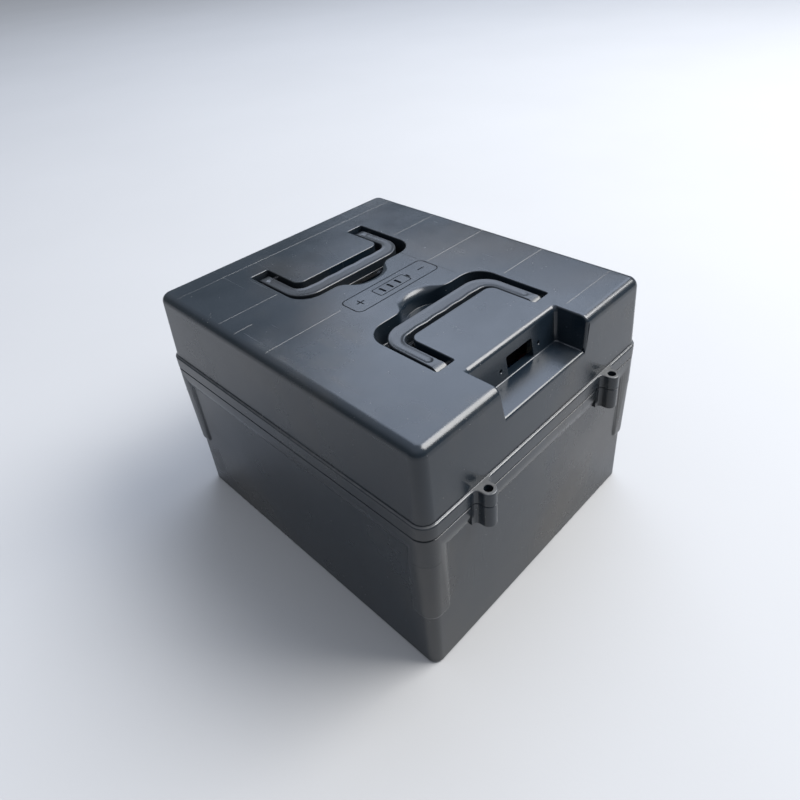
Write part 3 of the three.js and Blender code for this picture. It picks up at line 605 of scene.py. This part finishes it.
def notch():
    """The notch's cutter, with walls that lean out and a broad rounded edge above its back wall."""
    rings = []
    for a in quarter_turn(4):
        inset = -NOTCH_COVE * (1 - math.sin(a))
        rings.append(notch_ring(NOTCH_SHELF_Z + NOTCH_COVE * (1 - math.cos(a)), inset, inset))
    for a in quarter_turn(10):
        z = HEIGHT - NOTCH_LIP * (1 - math.sin(a))
        rise = max(0.0, z - HEIGHT + NOTCH_SIDE_LIP) / NOTCH_SIDE_LIP
        side = NOTCH_SIDE_LIP * (1 - math.sqrt(max(0.0, 1 - rise * rise)))
        rings.append(notch_ring(z, side, NOTCH_LIP * (1 - math.cos(a))))
    rings.append([(x, y, HEIGHT + 3) for x, y, z in rings[-1]])
    return skin(rings)


def notch_front_edge():
    """Rounds the shelf's front edge."""
    return edge_rounder(-HALF_Y - lid_face(NOTCH_SHELF_Z), NOTCH_SHELF_Z, radius=3, before=6,
                        reach=NOTCH_HALF_SHELF + 1, steps=8)


def notch_tray():
    """The block under the notch, before it is hollowed."""
    half = NOTCH_HALF_TOP + TRAY_WALL
    return block(-half, half, -HALF_Y + 1, NOTCH_Y_TOP + TRAY_WALL, NOTCH_SHELF_Z - TRAY_WALL, TRAY_TOP)


def window():
    """The window and the two screw holes beside it, square to the leaning wall."""
    middle = (WINDOW_TOP + WINDOW_BOTTOM) / 2
    rise = (middle - NOTCH_SHELF_Z) / (HEIGHT - NOTCH_SHELF_Z)
    face = NOTCH_Y_SHELF + (NOTCH_Y_TOP - NOTCH_Y_SHELF) * rise
    lean = math.atan2(NOTCH_Y_TOP - NOTCH_Y_SHELF, HEIGHT - NOTCH_SHELF_Z)
    place = (Matrix.Translation((WINDOW_X, face, middle)) @ Matrix.Rotation(-lean, 4, "X")
             @ Matrix.Rotation(math.pi / 2, 4, "X"))
    outline = rounded_rect(WINDOW_WIDTH / 2, (WINDOW_TOP - WINDOW_BOTTOM) / 2, WINDOW_CORNER, 6)
    opening = loft(outline, [(-14, 0), (-WINDOW_EDGE, 0), (-WINDOW_EDGE * 0.3, WINDOW_EDGE * 0.3),
                             (PAST, WINDOW_EDGE), (2, WINDOW_EDGE)])
    holes = []
    for side in (-1, 1):
        hole = lathe([(WINDOW_SCREW_RADIUS, -6), (WINDOW_SCREW_RADIUS, -0.5),
                      (WINDOW_SCREW_RADIUS + 0.5, PAST), (WINDOW_SCREW_RADIUS + 0.5, 2)], 24)
        holes.append(moved(hole, Matrix.Translation((side * WINDOW_SCREW_SPACING / 2, 0, 0))))
    return moved(join(opening, *holes), place)


def groove(outline, width, depth):
    """A V-shaped groove along a closed outline in the lid's top."""
    outer = loft(outline, [(HEIGHT - depth, 0.02), (HEIGHT + 0.2, width / 2 * (1 + 0.2 / depth))])
    inner = loft(outline, [(HEIGHT - depth - 0.1, -0.02), (HEIGHT + 0.3, -width / 2 * (1 + 0.3 / depth))])
    return cut(outer, inner)


def stroke(x0, y0, x1, y1, width=STROKE_WIDTH):
    """A shallow groove with round ends along a straight line in the lid's top."""
    angle = math.degrees(math.atan2(y1 - y0, x1 - x0))
    outline = arc(x1, y1, width / 2, angle - 90, angle + 90, 6)
    outline += arc(x0, y0, width / 2, angle + 90, angle + 270, 6)
    return loft(outline, [(HEIGHT - STROKE_DEPTH, -0.12), (HEIGHT + PAST, 0), (HEIGHT + 1, 0)])


def centre_plate():
    """The plate's outline, and on it a plus sign, a battery with three bars, and a minus sign."""
    battery = rounded_rect(BATTERY_HALF_X, BATTERY_HALF_Y, BATTERY_CORNER, 5)
    grooves = [groove(rounded_rect(PLATE_HALF_X, PLATE_HALF_Y, PLATE_CORNER, 8), width=1.1, depth=1.8),
               groove(battery, width=1.0, depth=1.5),
               stroke(-SIGN_X - SIGN_HALF, 0, -SIGN_X + SIGN_HALF, 0),
               stroke(-SIGN_X, -SIGN_HALF, -SIGN_X, SIGN_HALF),
               stroke(SIGN_X - SIGN_HALF, 0, SIGN_X + SIGN_HALF, 0)]
    for bar in (-1, 0, 1):
        x = bar * BAR_SPACING - 2
        grooves.append(stroke(x, -3.2, x, 3.2, 3))
    pole = BATTERY_HALF_X + 2
    return grooves + [stroke(pole, -2, pole, 2, 2)]


# Witness lines of the ribs inside the lid: (from, to, distance from the middle)
LINES_ALONG_X = [(-146, -78, 75), (78, 146, 75), (-146, -124, 50), (-146, -60, 4), (56, 146, 5),
                 (80, 146, -71), (68, 146, -147), (-146, 146, 147)]
LINES_ALONG_Y = [(18, 46, 53), (-34, -9, 54)]


def witness_lines():
    """Very fine grooves in the lid's top, with a steep near side and a slanted far side."""
    width, depth = 0.42, 0.31
    half = width / 2
    sink = [(-half, HEIGHT - depth), (half, HEIGHT + PAST), (half, HEIGHT + 1), (-half, HEIGHT + 1)]
    lines = []
    for start, end, place in LINES_ALONG_X:
        lines.append(moved(prism([(place + y, z) for y, z in sink], start, end), ALONG_X))
    for start, end, place in LINES_ALONG_Y:
        lines.append(moved(prism([(place + x, z) for x, z in sink], -end, -start), ALONG_MINUS_Y))
    return lines


def lid_shell():
    """The lid: its shell, the trays under the recesses and the notch, the upper ears, and every opening."""
    pin_holes = []
    reach = (RECESS_HALF_X - ISLAND_HALF_X) / 2 + TRAY_WALL + 1
    for x in (-PIN_X, PIN_X):
        hole = moved(lathe([(PIN_RADIUS + GAP, -reach), (PIN_RADIUS + GAP, reach)], 32), ALONG_X)
        pin_holes.append(moved(hole, Matrix.Translation((x, -PIVOT_OUT, PIVOT_Z))))
    lid = cut(lid_outer(), lid_cavity())
    join(lid, common(front_and_back(recess_tray()), lid_outer()), common(notch_tray(), lid_outer()))
    join(lid, ears(SEAM_TOP, FLANGE_TOP, round_bottom=0.4, round_top=1.1))
    recess = join(recess_channel(), finger_dish(), dish_ledge(), *pin_holes)
    cut(lid, front_and_back(recess), notch(), notch_front_edge(), window())
    bevel = 0.25
    bore = lathe([(SCREW_RADIUS + GAP, SEAM_TOP - 1), (SCREW_RADIUS + GAP, COUNTERBORE_Z),
                  (COUNTERBORE_RADIUS, COUNTERBORE_Z), (COUNTERBORE_RADIUS, FLANGE_TOP - bevel),
                  (COUNTERBORE_RADIUS + bevel, FLANGE_TOP + PAST),
                  (COUNTERBORE_RADIUS + bevel, FLANGE_TOP + 1)])
    cut(lid, on_four_bosses(bore), *centre_plate(), *witness_lines())
    return finished(lid, "lid_moulding", "case", "case_plastic", ["lid_shell"])


# ------------------------ handles

def handle_outline(end_out):
    """The handle from above, at the front, with its legs ending at a distance from the middle."""
    centre = -GRIP_OUT_NEAR - HANDLE_OUTER_RADIUS
    outer = arc(LEG_OUTER_X - HANDLE_OUTER_RADIUS, centre, HANDLE_OUTER_RADIUS, 0, 90, 20)
    inner_x = LEG_INNER_X - HANDLE_INNER_RADIUS
    inner = arc(inner_x, -GRIP_OUT_FAR - HANDLE_INNER_RADIUS, HANDLE_INNER_RADIUS, 90, 0, 12)
    steps = FINGER_WAVES * 14
    wave = []
    for i in range(1, steps):
        phase = 2 * math.pi * FINGER_WAVES * i / steps
        rise = WAVE_HEIGHT * (1 - math.cos(phase)) / 2
        wave.append((-inner_x + 2 * inner_x * i / steps, -GRIP_OUT_FAR + rise))
    right = [(LEG_OUTER_X, -end_out)] + outer
    inner_right = inner + [(LEG_INNER_X, -end_out)]
    return right + mirrored(right) + mirrored(inner_right) + wave + inner_right


def handle_bar():
    """The handle with rounded edges, and a fine lip low on its sides."""
    levels = rounded_bottom(HANDLE_ROUND, HANDLE_BOTTOM, 5)
    levels += [(HANDLE_BOTTOM + 1.9, 0), (HANDLE_BOTTOM + 2.15, -0.12), (HANDLE_BOTTOM + 2.4, -LIP_PROUD)]
    levels += rounded_top(HANDLE_ROUND, HANDLE_TOP, -LIP_PROUD, 6)
    return loft(handle_outline(PIVOT_OUT + HANDLE_TOP - HANDLE_BOTTOM), levels)


def handle_side():
    """The handle seen from the side: round at the pivot, with a longer rounding on the upper half."""
    barrel = (HANDLE_TOP - HANDLE_BOTTOM) / 2
    brow = [(BARREL_BROW * (y + PIVOT_OUT) / barrel - PIVOT_OUT - barrel + BARREL_BROW, z)
            for y, z in arc(-PIVOT_OUT, PIVOT_Z, barrel, 90, 180, 14)]
    under = arc(-PIVOT_OUT, PIVOT_Z, barrel, 180, 270, 12)[1:]
    outline = brow + under + [(0, HANDLE_BOTTOM), (0, HANDLE_TOP)]
    return moved(prism(outline, -HALF_X, HALF_X), ALONG_X)


def handle_hollow():
    """The cutter of the shallow hollow along the handle's top."""
    outline = offset(handle_outline(PIVOT_OUT - 6), -HOLLOW_INSET)
    return loft(outline, [(HANDLE_TOP - 0.62, -3.4), (HANDLE_TOP - 0.56, -2.5), (HANDLE_TOP - 0.38, -1.5),
                          (HANDLE_TOP - 0.14, -0.6), (HANDLE_TOP + PAST, 0), (HANDLE_TOP + 1, 0)])


def handle(name, node, body, turn):
    """One handle, made at the front and turned to its place."""
    bar = common(handle_bar(), handle_side())
    cut(bar, handle_hollow())
    for x in (-LEG_INNER_X / 2 - LEG_OUTER_X / 2, LEG_INNER_X / 2 + LEG_OUTER_X / 2):
        dimple = lathe([(0.01, -1.1), (2, -0.85), (3.4, -0.4), (4.1, PAST), (4.1, 1)])
        cut(bar, moved(dimple, Matrix.Translation((x, DIMPLE_OUT - PIVOT_OUT, HANDLE_TOP))))
        hole = moved(lathe([(PIN_RADIUS + GAP, -10), (PIN_RADIUS + GAP, 10)], 32), ALONG_X)
        cut(bar, moved(hole, Matrix.Translation((x, -PIVOT_OUT, PIVOT_Z))))
    moved(bar, Matrix.Rotation(turn, 4, "Z"))
    return finished(bar, name, body, "handle_plastic", [node])


# ------------------------ fasteners

def lid_screws():
    """Socket-head cap screws with a rounded head edge and a threaded shank."""
    head = COUNTERBORE_Z + GAP
    tip = head - SCREW_LENGTH
    top = head + SCREW_HEAD_HEIGHT
    profile = [(SCREW_RADIUS - 0.6, tip), (SCREW_RADIUS - 0.2, tip + 0.5)]
    z = tip + 0.8
    while z < head - 1.2:
        profile += [(SCREW_RADIUS, z), (SCREW_RADIUS - THREAD_DEPTH, z + THREAD_PITCH / 2)]
        z += THREAD_PITCH
    profile += [(SCREW_RADIUS - 0.1, head), (SCREW_HEAD_RADIUS - 0.2, head), (SCREW_HEAD_RADIUS, head + 0.2),
                (SCREW_HEAD_RADIUS, top - 0.5), (SCREW_HEAD_RADIUS - 0.15, top - 0.15),
                (SCREW_HEAD_RADIUS - 0.5, top)]
    flare_radius = SOCKET_RADIUS + 0.25
    socket = [(SOCKET_RADIUS, top - 2), (SOCKET_RADIUS, top - 0.2), (flare_radius, top + 0.05),
              (flare_radius, top + 1)]
    for corner, (side_x, side_y) in CORNERS.items():
        screw = cut(lathe(profile, 48), lathe(socket, 6))
        moved(screw, Matrix.Translation((side_x * BOSS_X, side_y * BOSS_Y, 0)))
        finished(screw, f"cap_screw_{corner}", "case", "screw_black", [f"lid_screw_{corner}"])


def knurled_ring(z, waist):
    """One level of an insert: ribbed at its full radius, and plain where it is drawn in."""
    ring = []
    for i in range(2 * KNURL_RIBS):
        radius = INSERT_RADIUS - waist - (KNURL_DEPTH if i % 2 and not waist else 0)
        a = math.pi * i / KNURL_RIBS
        ring.append((radius * math.cos(a), radius * math.sin(a), z))
    return ring


def boss_inserts():
    """Brass threaded inserts, knurled in two bands with a plain groove between them."""
    top = SEAM_BOTTOM - 0.2
    bottom = top - INSERT_LENGTH
    bore = SCREW_RADIUS + GAP
    levels = [(0, 0.35), (0.4, 0), (4, 0), (4.3, 0.4), (5.7, 0.4), (6, 0), (9.6, 0), (10, 0.3)]
    rings = [knurled_ring(bottom + rise, waist) for rise, waist in levels]
    bore_profile = [(bore, bottom - 1), (bore, top - 0.4), (bore + 0.3, top + PAST), (bore + 0.3, top + 1)]
    for corner, (side_x, side_y) in CORNERS.items():
        insert = cut(skin(rings), lathe(bore_profile))
        moved(insert, Matrix.Translation((side_x * BOSS_X, side_y * BOSS_Y, 0)))
        finished(insert, f"knurled_insert_{corner}", "case", "insert_brass", [f"boss_insert_{corner}"],
                 angle=25)


def handle_pins():
    """Steel pins with bevelled ends, from the island's wall to the recess's outer wall."""
    half = (RECESS_HALF_X - ISLAND_HALF_X) / 2 + TRAY_WALL - 0.3
    bevel = 0.4
    profile = [(PIN_RADIUS - bevel, -half), (PIN_RADIUS, -half + bevel), (PIN_RADIUS, half - bevel),
               (PIN_RADIUS - bevel, half)]
    for corner, (side_x, side_y) in CORNERS.items():
        pin = moved(lathe(profile), ALONG_X)
        moved(pin, Matrix.Translation((side_x * PIN_X, side_y * PIVOT_OUT, PIVOT_Z)))
        finished(pin, f"hinge_pin_{corner}", "case", "pin_steel", [f"handle_pin_{corner}"])


# ------------------------ materials

# A Mix node's colour sockets, by number, because its sockets' names repeat
MIX_A = 6
MIX_B = 7
MIX_RESULT = 2


class Look:
    """A material whose colour, roughness and bump come from textures fixed to the piece."""

    def __init__(self, name, metallic=0.0, ior=1.5):
        self.material = bpy.data.materials.new(name)
        self.material.use_nodes = True
        self.tree = self.material.node_tree
        self.surface = self.tree.nodes["Principled BSDF"]
        self.surface.inputs["Metallic"].default_value = metallic
        self.surface.inputs["IOR"].default_value = ior
        self.place = self.node("ShaderNodeTexCoord").outputs["Object"]

    def node(self, kind, settings=None, **sockets):
        made = self.tree.nodes.new(kind)
        for key, value in (settings or {}).items():
            setattr(made, key, value)
        for key, value in sockets.items():
            self.put(value, made.inputs[key.replace("_", " ")])
        return made

    def put(self, value, socket):
        if isinstance(value, bpy.types.NodeSocket):
            self.tree.links.new(value, socket)
        else:
            socket.default_value = value

    def stretched(self, scale, turn=(0, 0, 0)):
        mapping = self.node("ShaderNodeMapping", Vector=self.place, Scale=scale, Rotation=turn)
        return mapping.outputs["Vector"]

    def noise(self, scale, detail=3.0, roughness=0.55, place=None):
        made = self.node("ShaderNodeTexNoise", Vector=place or self.place, Scale=scale, Detail=detail,
                         Roughness=roughness)
        return made.outputs["Fac"]

    def spots(self, scale):
        """The distance from the nearest of many scattered points."""
        return self.node("ShaderNodeTexVoronoi", Vector=self.place, Scale=scale).outputs["Distance"]

    def height(self):
        return self.node("ShaderNodeSeparateXYZ", Vector=self.place).outputs["Z"]

    def remap(self, value, low, high, to_low=0.0, to_high=1.0):
        made = self.node("ShaderNodeMapRange", Value=value)
        for key, number in (("From Min", low), ("From Max", high), ("To Min", to_low), ("To Max", to_high)):
            made.inputs[key].default_value = number
        return made.outputs["Result"]

    def math(self, operation, a, b):
        made = self.node("ShaderNodeMath", {"operation": operation})
        self.put(a, made.inputs[0])
        self.put(b, made.inputs[1])
        return made.outputs["Value"]

    def mix(self, share, a, b):
        made = self.node("ShaderNodeMix", {"data_type": "RGBA"})
        self.put(share, made.inputs["Factor"])
        self.put(a, made.inputs[MIX_A])
        self.put(b, made.inputs[MIX_B])
        return made.outputs[MIX_RESULT]

    def bump(self, height, distance, strength=1.0, after=None):
        made = self.node("ShaderNodeBump", Height=height, Strength=strength, Distance=distance)
        if after is not None:
            self.put(after, made.inputs["Normal"])
        return made.outputs["Normal"]

    def finish(self, colour, roughness, normal):
        self.put(colour, self.surface.inputs["Base Color"])
        self.put(roughness, self.surface.inputs["Roughness"])
        self.put(normal, self.surface.inputs["Normal"])
        return self.material


def shade(red, green, blue):
    return (red, green, blue, 1.0)


def scratches(look, scale, turn, amount):
    """Fine hair scratches in one direction: 1 on a scratch, 0 elsewhere."""
    lines = look.noise(1.0, 2.0, 0.6, look.stretched((scale, scale / 60, scale / 60), turn))
    return look.remap(lines, amount, amount + 0.03)


def rubbed_haze(look):
    """Patches where the gloss is rubbed, broken into soft streaks in one direction."""
    patches = look.remap(look.noise(5.5, 6.0, 0.62), 0.47, 0.72)
    streaks = look.noise(1.0, 4.0, 0.6, look.stretched((90, 16, 16), (0.5, 0.6, 0.9)))
    return look.math("MULTIPLY", patches, look.remap(streaks, 0.3, 0.65))


def settled_dust(look, ledge):
    """Dust on a ledge, which is given by its height in millimetres."""
    height = look.height()
    band = look.math("MULTIPLY", look.remap(height, (ledge - 0.8) * MM, (ledge - 0.2) * MM),
                     look.remap(height, (ledge + 0.3) * MM, (ledge + 0.1) * MM))
    return look.math("MULTIPLY", band, look.remap(look.noise(120.0), 0.3, 0.7, 0.35, 0.75))


def moulded_plastic(name, dark, light, warm, roughness, wave, ledge=None):
    """Semi-gloss black plastic with a fine grain, flow patches, rubbed haze, hair scratches and dust.

    The surface waves gently by a height in millimetres. Dust also settles on a ledge, if there is one.
    """
    look = Look(name)
    patches = look.remap(look.noise(7.0, 4.0), 0.35, 0.68)
    colour = look.mix(patches, dark, light)
    colour = look.mix(look.remap(look.noise(4.3, 3.0), 0.48, 0.68, 0.0, 0.85), colour, warm)
    haze = rubbed_haze(look)
    hairs = look.math("MAXIMUM", scratches(look, 620, (0.7, 0.5, 0.5), 0.72),
                      scratches(look, 560, (-0.6, 0.9, -0.9), 0.73))
    dust = look.math("MULTIPLY", look.remap(look.spots(260), 0.16, 0.08),
                     look.remap(look.noise(60.0, 1.0), 0.62, 0.66))
    colour = look.mix(look.math("MULTIPLY", haze, 0.55), colour, shade(0.062, 0.057, 0.048))
    colour = look.mix(look.math("MULTIPLY", hairs, 0.1), colour, shade(0.16, 0.17, 0.18))
    colour = look.mix(look.math("MULTIPLY", dust, 0.3), colour, shade(0.25, 0.24, 0.22))
    if ledge:
        colour = look.mix(settled_dust(look, ledge), colour, shade(0.1, 0.1, 0.1))
    rough = look.remap(look.noise(14.0, 5.0, 0.6), 0.3, 0.75, roughness - 0.05, roughness + 0.09)
    rough = look.math("ADD", rough, look.math("MULTIPLY", look.math("MAXIMUM", hairs, dust), 0.12))
    rough = look.math("ADD", rough, look.math("MULTIPLY", haze, 0.09))
    normal = look.bump(look.noise(16.0, 1.0), wave * MM)
    normal = look.bump(look.noise(1900.0, 2.0), 0.00002, 1.0, normal)
    normal = look.bump(hairs, 0.00002, -1.0, normal)
    return look.finish(colour, rough, normal)


def rubber(name, dark, light):
    """Matt rubber with a fine uneven skin."""
    look = Look(name)
    colour = look.mix(look.noise(90.0, 4.0), dark, light)
    rough = look.remap(look.noise(300.0), 0.3, 0.7, 0.62, 0.82)
    return look.finish(colour, rough, look.bump(look.noise(1500.0, 3.0), 0.00006))


def foam(name):
    """Dark foam with open pores, whose hollows are painted darker as painted shade."""
    look = Look(name)
    pores = look.spots(900)
    # Painted shade: the foam is coloured darker where the pores' bump sinks, standing in for shade in the
    # hollows
    colour = look.mix(look.remap(pores, 0.1, 0.7), shade(0.035, 0.035, 0.037), shade(0.012, 0.012, 0.013))
    rough = look.remap(look.noise(200.0), 0.3, 0.7, 0.85, 0.98)
    return look.finish(colour, rough, look.bump(pores, 0.0006, -1.0))


def brushed_metal(name, dark, light, roughness, stretch):
    """Metal with a fine grain drawn out along one axis."""
    look = Look(name, metallic=1.0)
    lines = look.noise(1.0, 4.0, 0.65, look.stretched(stretch))
    tone = look.math("ADD", look.math("MULTIPLY", lines, 0.6), look.math("MULTIPLY", look.noise(30.0), 0.4))
    colour = look.mix(look.remap(tone, 0.35, 0.65), dark, light)
    rough = look.remap(lines, 0.3, 0.7, roughness - 0.07, roughness + 0.1)
    return look.finish(colour, rough, look.bump(lines, 0.00004))


def shrink_film(name):
    """Thin blue film drawn over a cell, with soft wrinkles whose hollows are painted darker and ridges
    lighter, as painted shade and light.
    """
    look = Look(name)
    creases = look.noise(1.0, 4.0, 0.55, look.stretched((60, 60, 14)))
    # Painted shade and light: the film's colour follows the wrinkles' bump height, darker in the hollows and
    # lighter on the ridges
    colour = look.mix(look.remap(creases, 0.35, 0.65), shade(0.02, 0.075, 0.2), shade(0.035, 0.12, 0.3))
    rough = look.remap(look.noise(80.0), 0.3, 0.7, 0.28, 0.45)
    normal = look.bump(creases, 0.0006, 0.6)
    return look.finish(colour, rough, look.bump(look.noise(1400.0), 0.00003, 1.0, normal))


def glass_cloth(name):
    """Epoxy and glass sheet: a plain weave under a pale yellow surface."""
    look = Look(name)
    weave = []
    for turn in ((0, 0, 0), (0, 0, math.pi / 2)):
        threads = look.node("ShaderNodeTexWave", {"wave_type": "BANDS"},
                            Vector=look.stretched((1, 1, 1), turn), Scale=160.0, Distortion=0.6)
        weave.append(threads.outputs["Fac"])
    cloth = look.math("MULTIPLY", weave[0], weave[1])
    colour = look.mix(cloth, shade(0.42, 0.36, 0.19), shade(0.58, 0.52, 0.3))
    colour = look.mix(look.remap(look.noise(11.0), 0.4, 0.7, 0, 0.5), colour, shade(0.38, 0.33, 0.2))
    return look.finish(colour, look.remap(cloth, 0, 1, 0.42, 0.6), look.bump(cloth, 0.00008))


def circuit_board(name, board_top):
    """Green solder mask with fine tracks; whatever stands on the board is black or grey moulding."""
    look = Look(name)
    tracks = look.node("ShaderNodeTexBrick", Vector=look.place, Scale=160.0).outputs["Fac"]
    mask = look.mix(tracks, shade(0.01, 0.075, 0.03), shade(0.025, 0.15, 0.06))
    mask = look.mix(look.remap(look.noise(25.0), 0.4, 0.7, 0, 0.5), mask, shade(0.008, 0.05, 0.025))
    parts = look.mix(look.noise(400.0), shade(0.012, 0.012, 0.013), shade(0.03, 0.03, 0.032))
    colour = look.mix(look.remap(look.height(), board_top + 0.0002, board_top + 0.0003), mask, parts)
    rough = look.remap(look.noise(120.0), 0.3, 0.7, 0.35, 0.55)
    return look.finish(colour, rough, look.bump(tracks, 0.00006))


def moulded_fuse(name):
    """Black thermoset moulding with fine pale specks."""
    look = Look(name, ior=1.52)
    colour = look.mix(look.noise(45.0, 5.0), shade(0.02, 0.02, 0.021), shade(0.035, 0.035, 0.036))
    specks = look.remap(look.spots(700), 0.1, 0.05)
    colour = look.mix(look.math("MULTIPLY", specks, 0.4), colour, shade(0.06, 0.06, 0.06))
    rough = look.remap(look.noise(60.0), 0.3, 0.7, 0.3, 0.5)
    return look.finish(colour, rough, look.bump(look.noise(900.0), 0.00004))


BOARD_THICKNESS = 0.0016            # metres

LOOKS = {
    "case_plastic": moulded_plastic("case_plastic", shade(0.005, 0.010, 0.016), shade(0.011, 0.017, 0.024),
                                    shade(0.022, 0.019, 0.016), roughness=0.22, wave=0.2, ledge=FLANGE_TOP),
    "handle_plastic": moulded_plastic("handle_plastic", shade(0.009, 0.012, 0.016), shade(0.016, 0.02, 0.025),
                                      shade(0.018, 0.017, 0.016), roughness=0.27, wave=0.2),
    "block_plastic": moulded_plastic("block_plastic", shade(0.018, 0.018, 0.02), shade(0.03, 0.03, 0.032),
                                     shade(0.03, 0.028, 0.026), roughness=0.4, wave=0.3),
    "seal_rubber": rubber("seal_rubber", shade(0.01, 0.01, 0.011), shade(0.02, 0.02, 0.022)),
    "foam": foam("foam"),
    "screw_black": brushed_metal("screw_black", shade(0.03, 0.03, 0.033), shade(0.07, 0.07, 0.075), 0.38,
                                 (900, 900, 900)),
    "pin_steel": brushed_metal("pin_steel", shade(0.38, 0.38, 0.4), shade(0.56, 0.56, 0.58), 0.3,
                               (60, 2500, 2500)),
    "insert_brass": brushed_metal("insert_brass", shade(0.5, 0.34, 0.12), shade(0.7, 0.5, 0.2), 0.32,
                                  (1500, 1500, 300)),
    "busbar_aluminium": brushed_metal("busbar_aluminium", shade(0.5, 0.51, 0.53), shade(0.68, 0.69, 0.7),
                                      0.34, (2200, 60, 2200)),
    "plate_aluminium": brushed_metal("plate_aluminium", shade(0.46, 0.47, 0.49), shade(0.62, 0.63, 0.64), 0.4,
                                     (50, 1800, 1800)),
    "cell_film": shrink_film("cell_film"),
    "insulation_sheet": glass_cloth("insulation_sheet"),
    "circuit_board": circuit_board("circuit_board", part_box("bms_board")[0].z + BOARD_THICKNESS),
    "fuse_body": moulded_fuse("fuse_body"),
    "cable_red": rubber("cable_red", shade(0.07, 0.005, 0.004), shade(0.1, 0.008, 0.006)),
    "cable_black": rubber("cable_black", shade(0.012, 0.012, 0.013), shade(0.025, 0.025, 0.027)),
}


def dress_inner_pieces():
    """Gives every CAD piece that stays its material, and a small rounding on its edges."""
    slots = {part["node"]: part["material_slot"] for part in frame["record"]["subparts"]}
    for name, node in frame["nodes"].items():
        if node.hide_render:
            continue
        for slot in node.material_slots:
            slot.material = LOOKS[slots[name]]
        if name.startswith("seal"):
            continue
        edges = node.modifiers.new("rounded_edges", "BEVEL")
        edges.width = 0.0003
        edges.segments = 2
        edges.limit_method = "ANGLE"
        edges.angle_limit = math.radians(40)
        edges.harden_normals = False


# ------------------------ the stage

def camera():
    """The camera stands in front of the near left corner, above the pack, and leans a little."""
    azimuth, elevation, roll = (math.radians(angle) for angle in (-43.32, 32.36, -5.02))
    back = Vector((math.sin(azimuth) * math.cos(elevation), -math.cos(azimuth) * math.cos(elevation),
                   math.sin(elevation)))
    level_right = (-back).cross(Vector((0, 0, 1))).normalized()
    level_up = level_right.cross(-back)
    right = math.cos(roll) * level_right + math.sin(roll) * level_up
    up = -math.sin(roll) * level_right + math.cos(roll) * level_up
    data = bpy.data.cameras.new("camera")
    data.lens = 29.91
    data.sensor_width = 36
    data.shift_x = -0.00875
    data.shift_y = -0.1025
    view = bpy.data.objects.new("camera", data)
    bpy.context.scene.collection.objects.link(view)
    place = Matrix((right, up, back)).transposed().to_4x4()
    place.translation = Vector((-0.3665, -0.4058, 0.5549))
    view.matrix_world = place
    bpy.context.scene.camera = view


def stage_floor():
    """A plain pale floor that reaches far past the object."""
    mesh = bpy.data.meshes.new("floor")
    reach = 12
    mesh.from_pydata([(-reach, -reach, 0), (reach, -reach, 0), (reach, reach, 0), (-reach, reach, 0)], [],
                     [(0, 1, 2, 3)])
    floor = bpy.data.objects.new("floor", mesh)
    bpy.context.scene.collection.objects.link(floor)
    look = Look("floor_paper")
    colour = look.mix(look.noise(2.0), shade(0.40, 0.40, 0.40), shade(0.43, 0.43, 0.43))
    mesh.materials.append(look.finish(colour, 0.9, look.bump(look.noise(300.0), 0.00005)))


def panel_light(name, direction, distance, size, power, colour):
    """A soft square light that looks at the pack from a direction."""
    data = bpy.data.lights.new(name, "AREA")
    data.shape = "SQUARE"
    data.size = size
    data.energy = power
    data.color = colour
    light = bpy.data.objects.new(name, data)
    bpy.context.scene.collection.objects.link(light)
    aim = Vector(direction).normalized()
    light.location = aim * distance + Vector((0, 0, HEIGHT * MM / 2))
    light.rotation_mode = "QUATERNION"
    light.rotation_quaternion = aim.to_track_quat("Z", "Y")


def studio():
    """A soft surround that is dimmer near the horizon, a key light, and a bluer panel of sky behind."""
    world = bpy.data.worlds.new("studio")
    bpy.context.scene.world = world
    world.use_nodes = True
    tree = world.node_tree
    background = tree.nodes["Background"]
    place = tree.nodes.new("ShaderNodeTexCoord")
    split = tree.nodes.new("ShaderNodeSeparateXYZ")
    ramp = tree.nodes.new("ShaderNodeValToRGB")
    tree.links.new(place.outputs["Generated"], split.inputs["Vector"])
    tree.links.new(split.outputs["Z"], ramp.inputs["Fac"])
    tree.links.new(ramp.outputs["Color"], background.inputs["Color"])
    stops = ramp.color_ramp.elements
    stops[0].position, stops[0].color = 0.38, (0.28, 0.31, 0.33, 1)
    stops[1].position, stops[1].color = 0.8, (0.92, 0.98, 1.12, 1)
    background.inputs["Strength"].default_value = 0.82
    panel_light("key", (0.52, -0.40, 0.76), distance=4.0, size=2.4, power=245, colour=(1.0, 0.99, 0.975))
    panel_light("sky_panel", (0.66, 0.36, 0.98), distance=5.0, size=4.2, power=168,
                colour=(0.76, 0.86, 1.06))
    bpy.context.scene.view_settings.view_transform = "Standard"


camera()
stage_floor()
studio()
lid_shell()
base_tub()
handle("carry_handle_front", "handle_front", "front_handle", 0)
handle("carry_handle_rear", "handle_rear", "rear_handle", math.pi)
lid_screws()
boss_inserts()
handle_pins()
dress_inner_pieces()
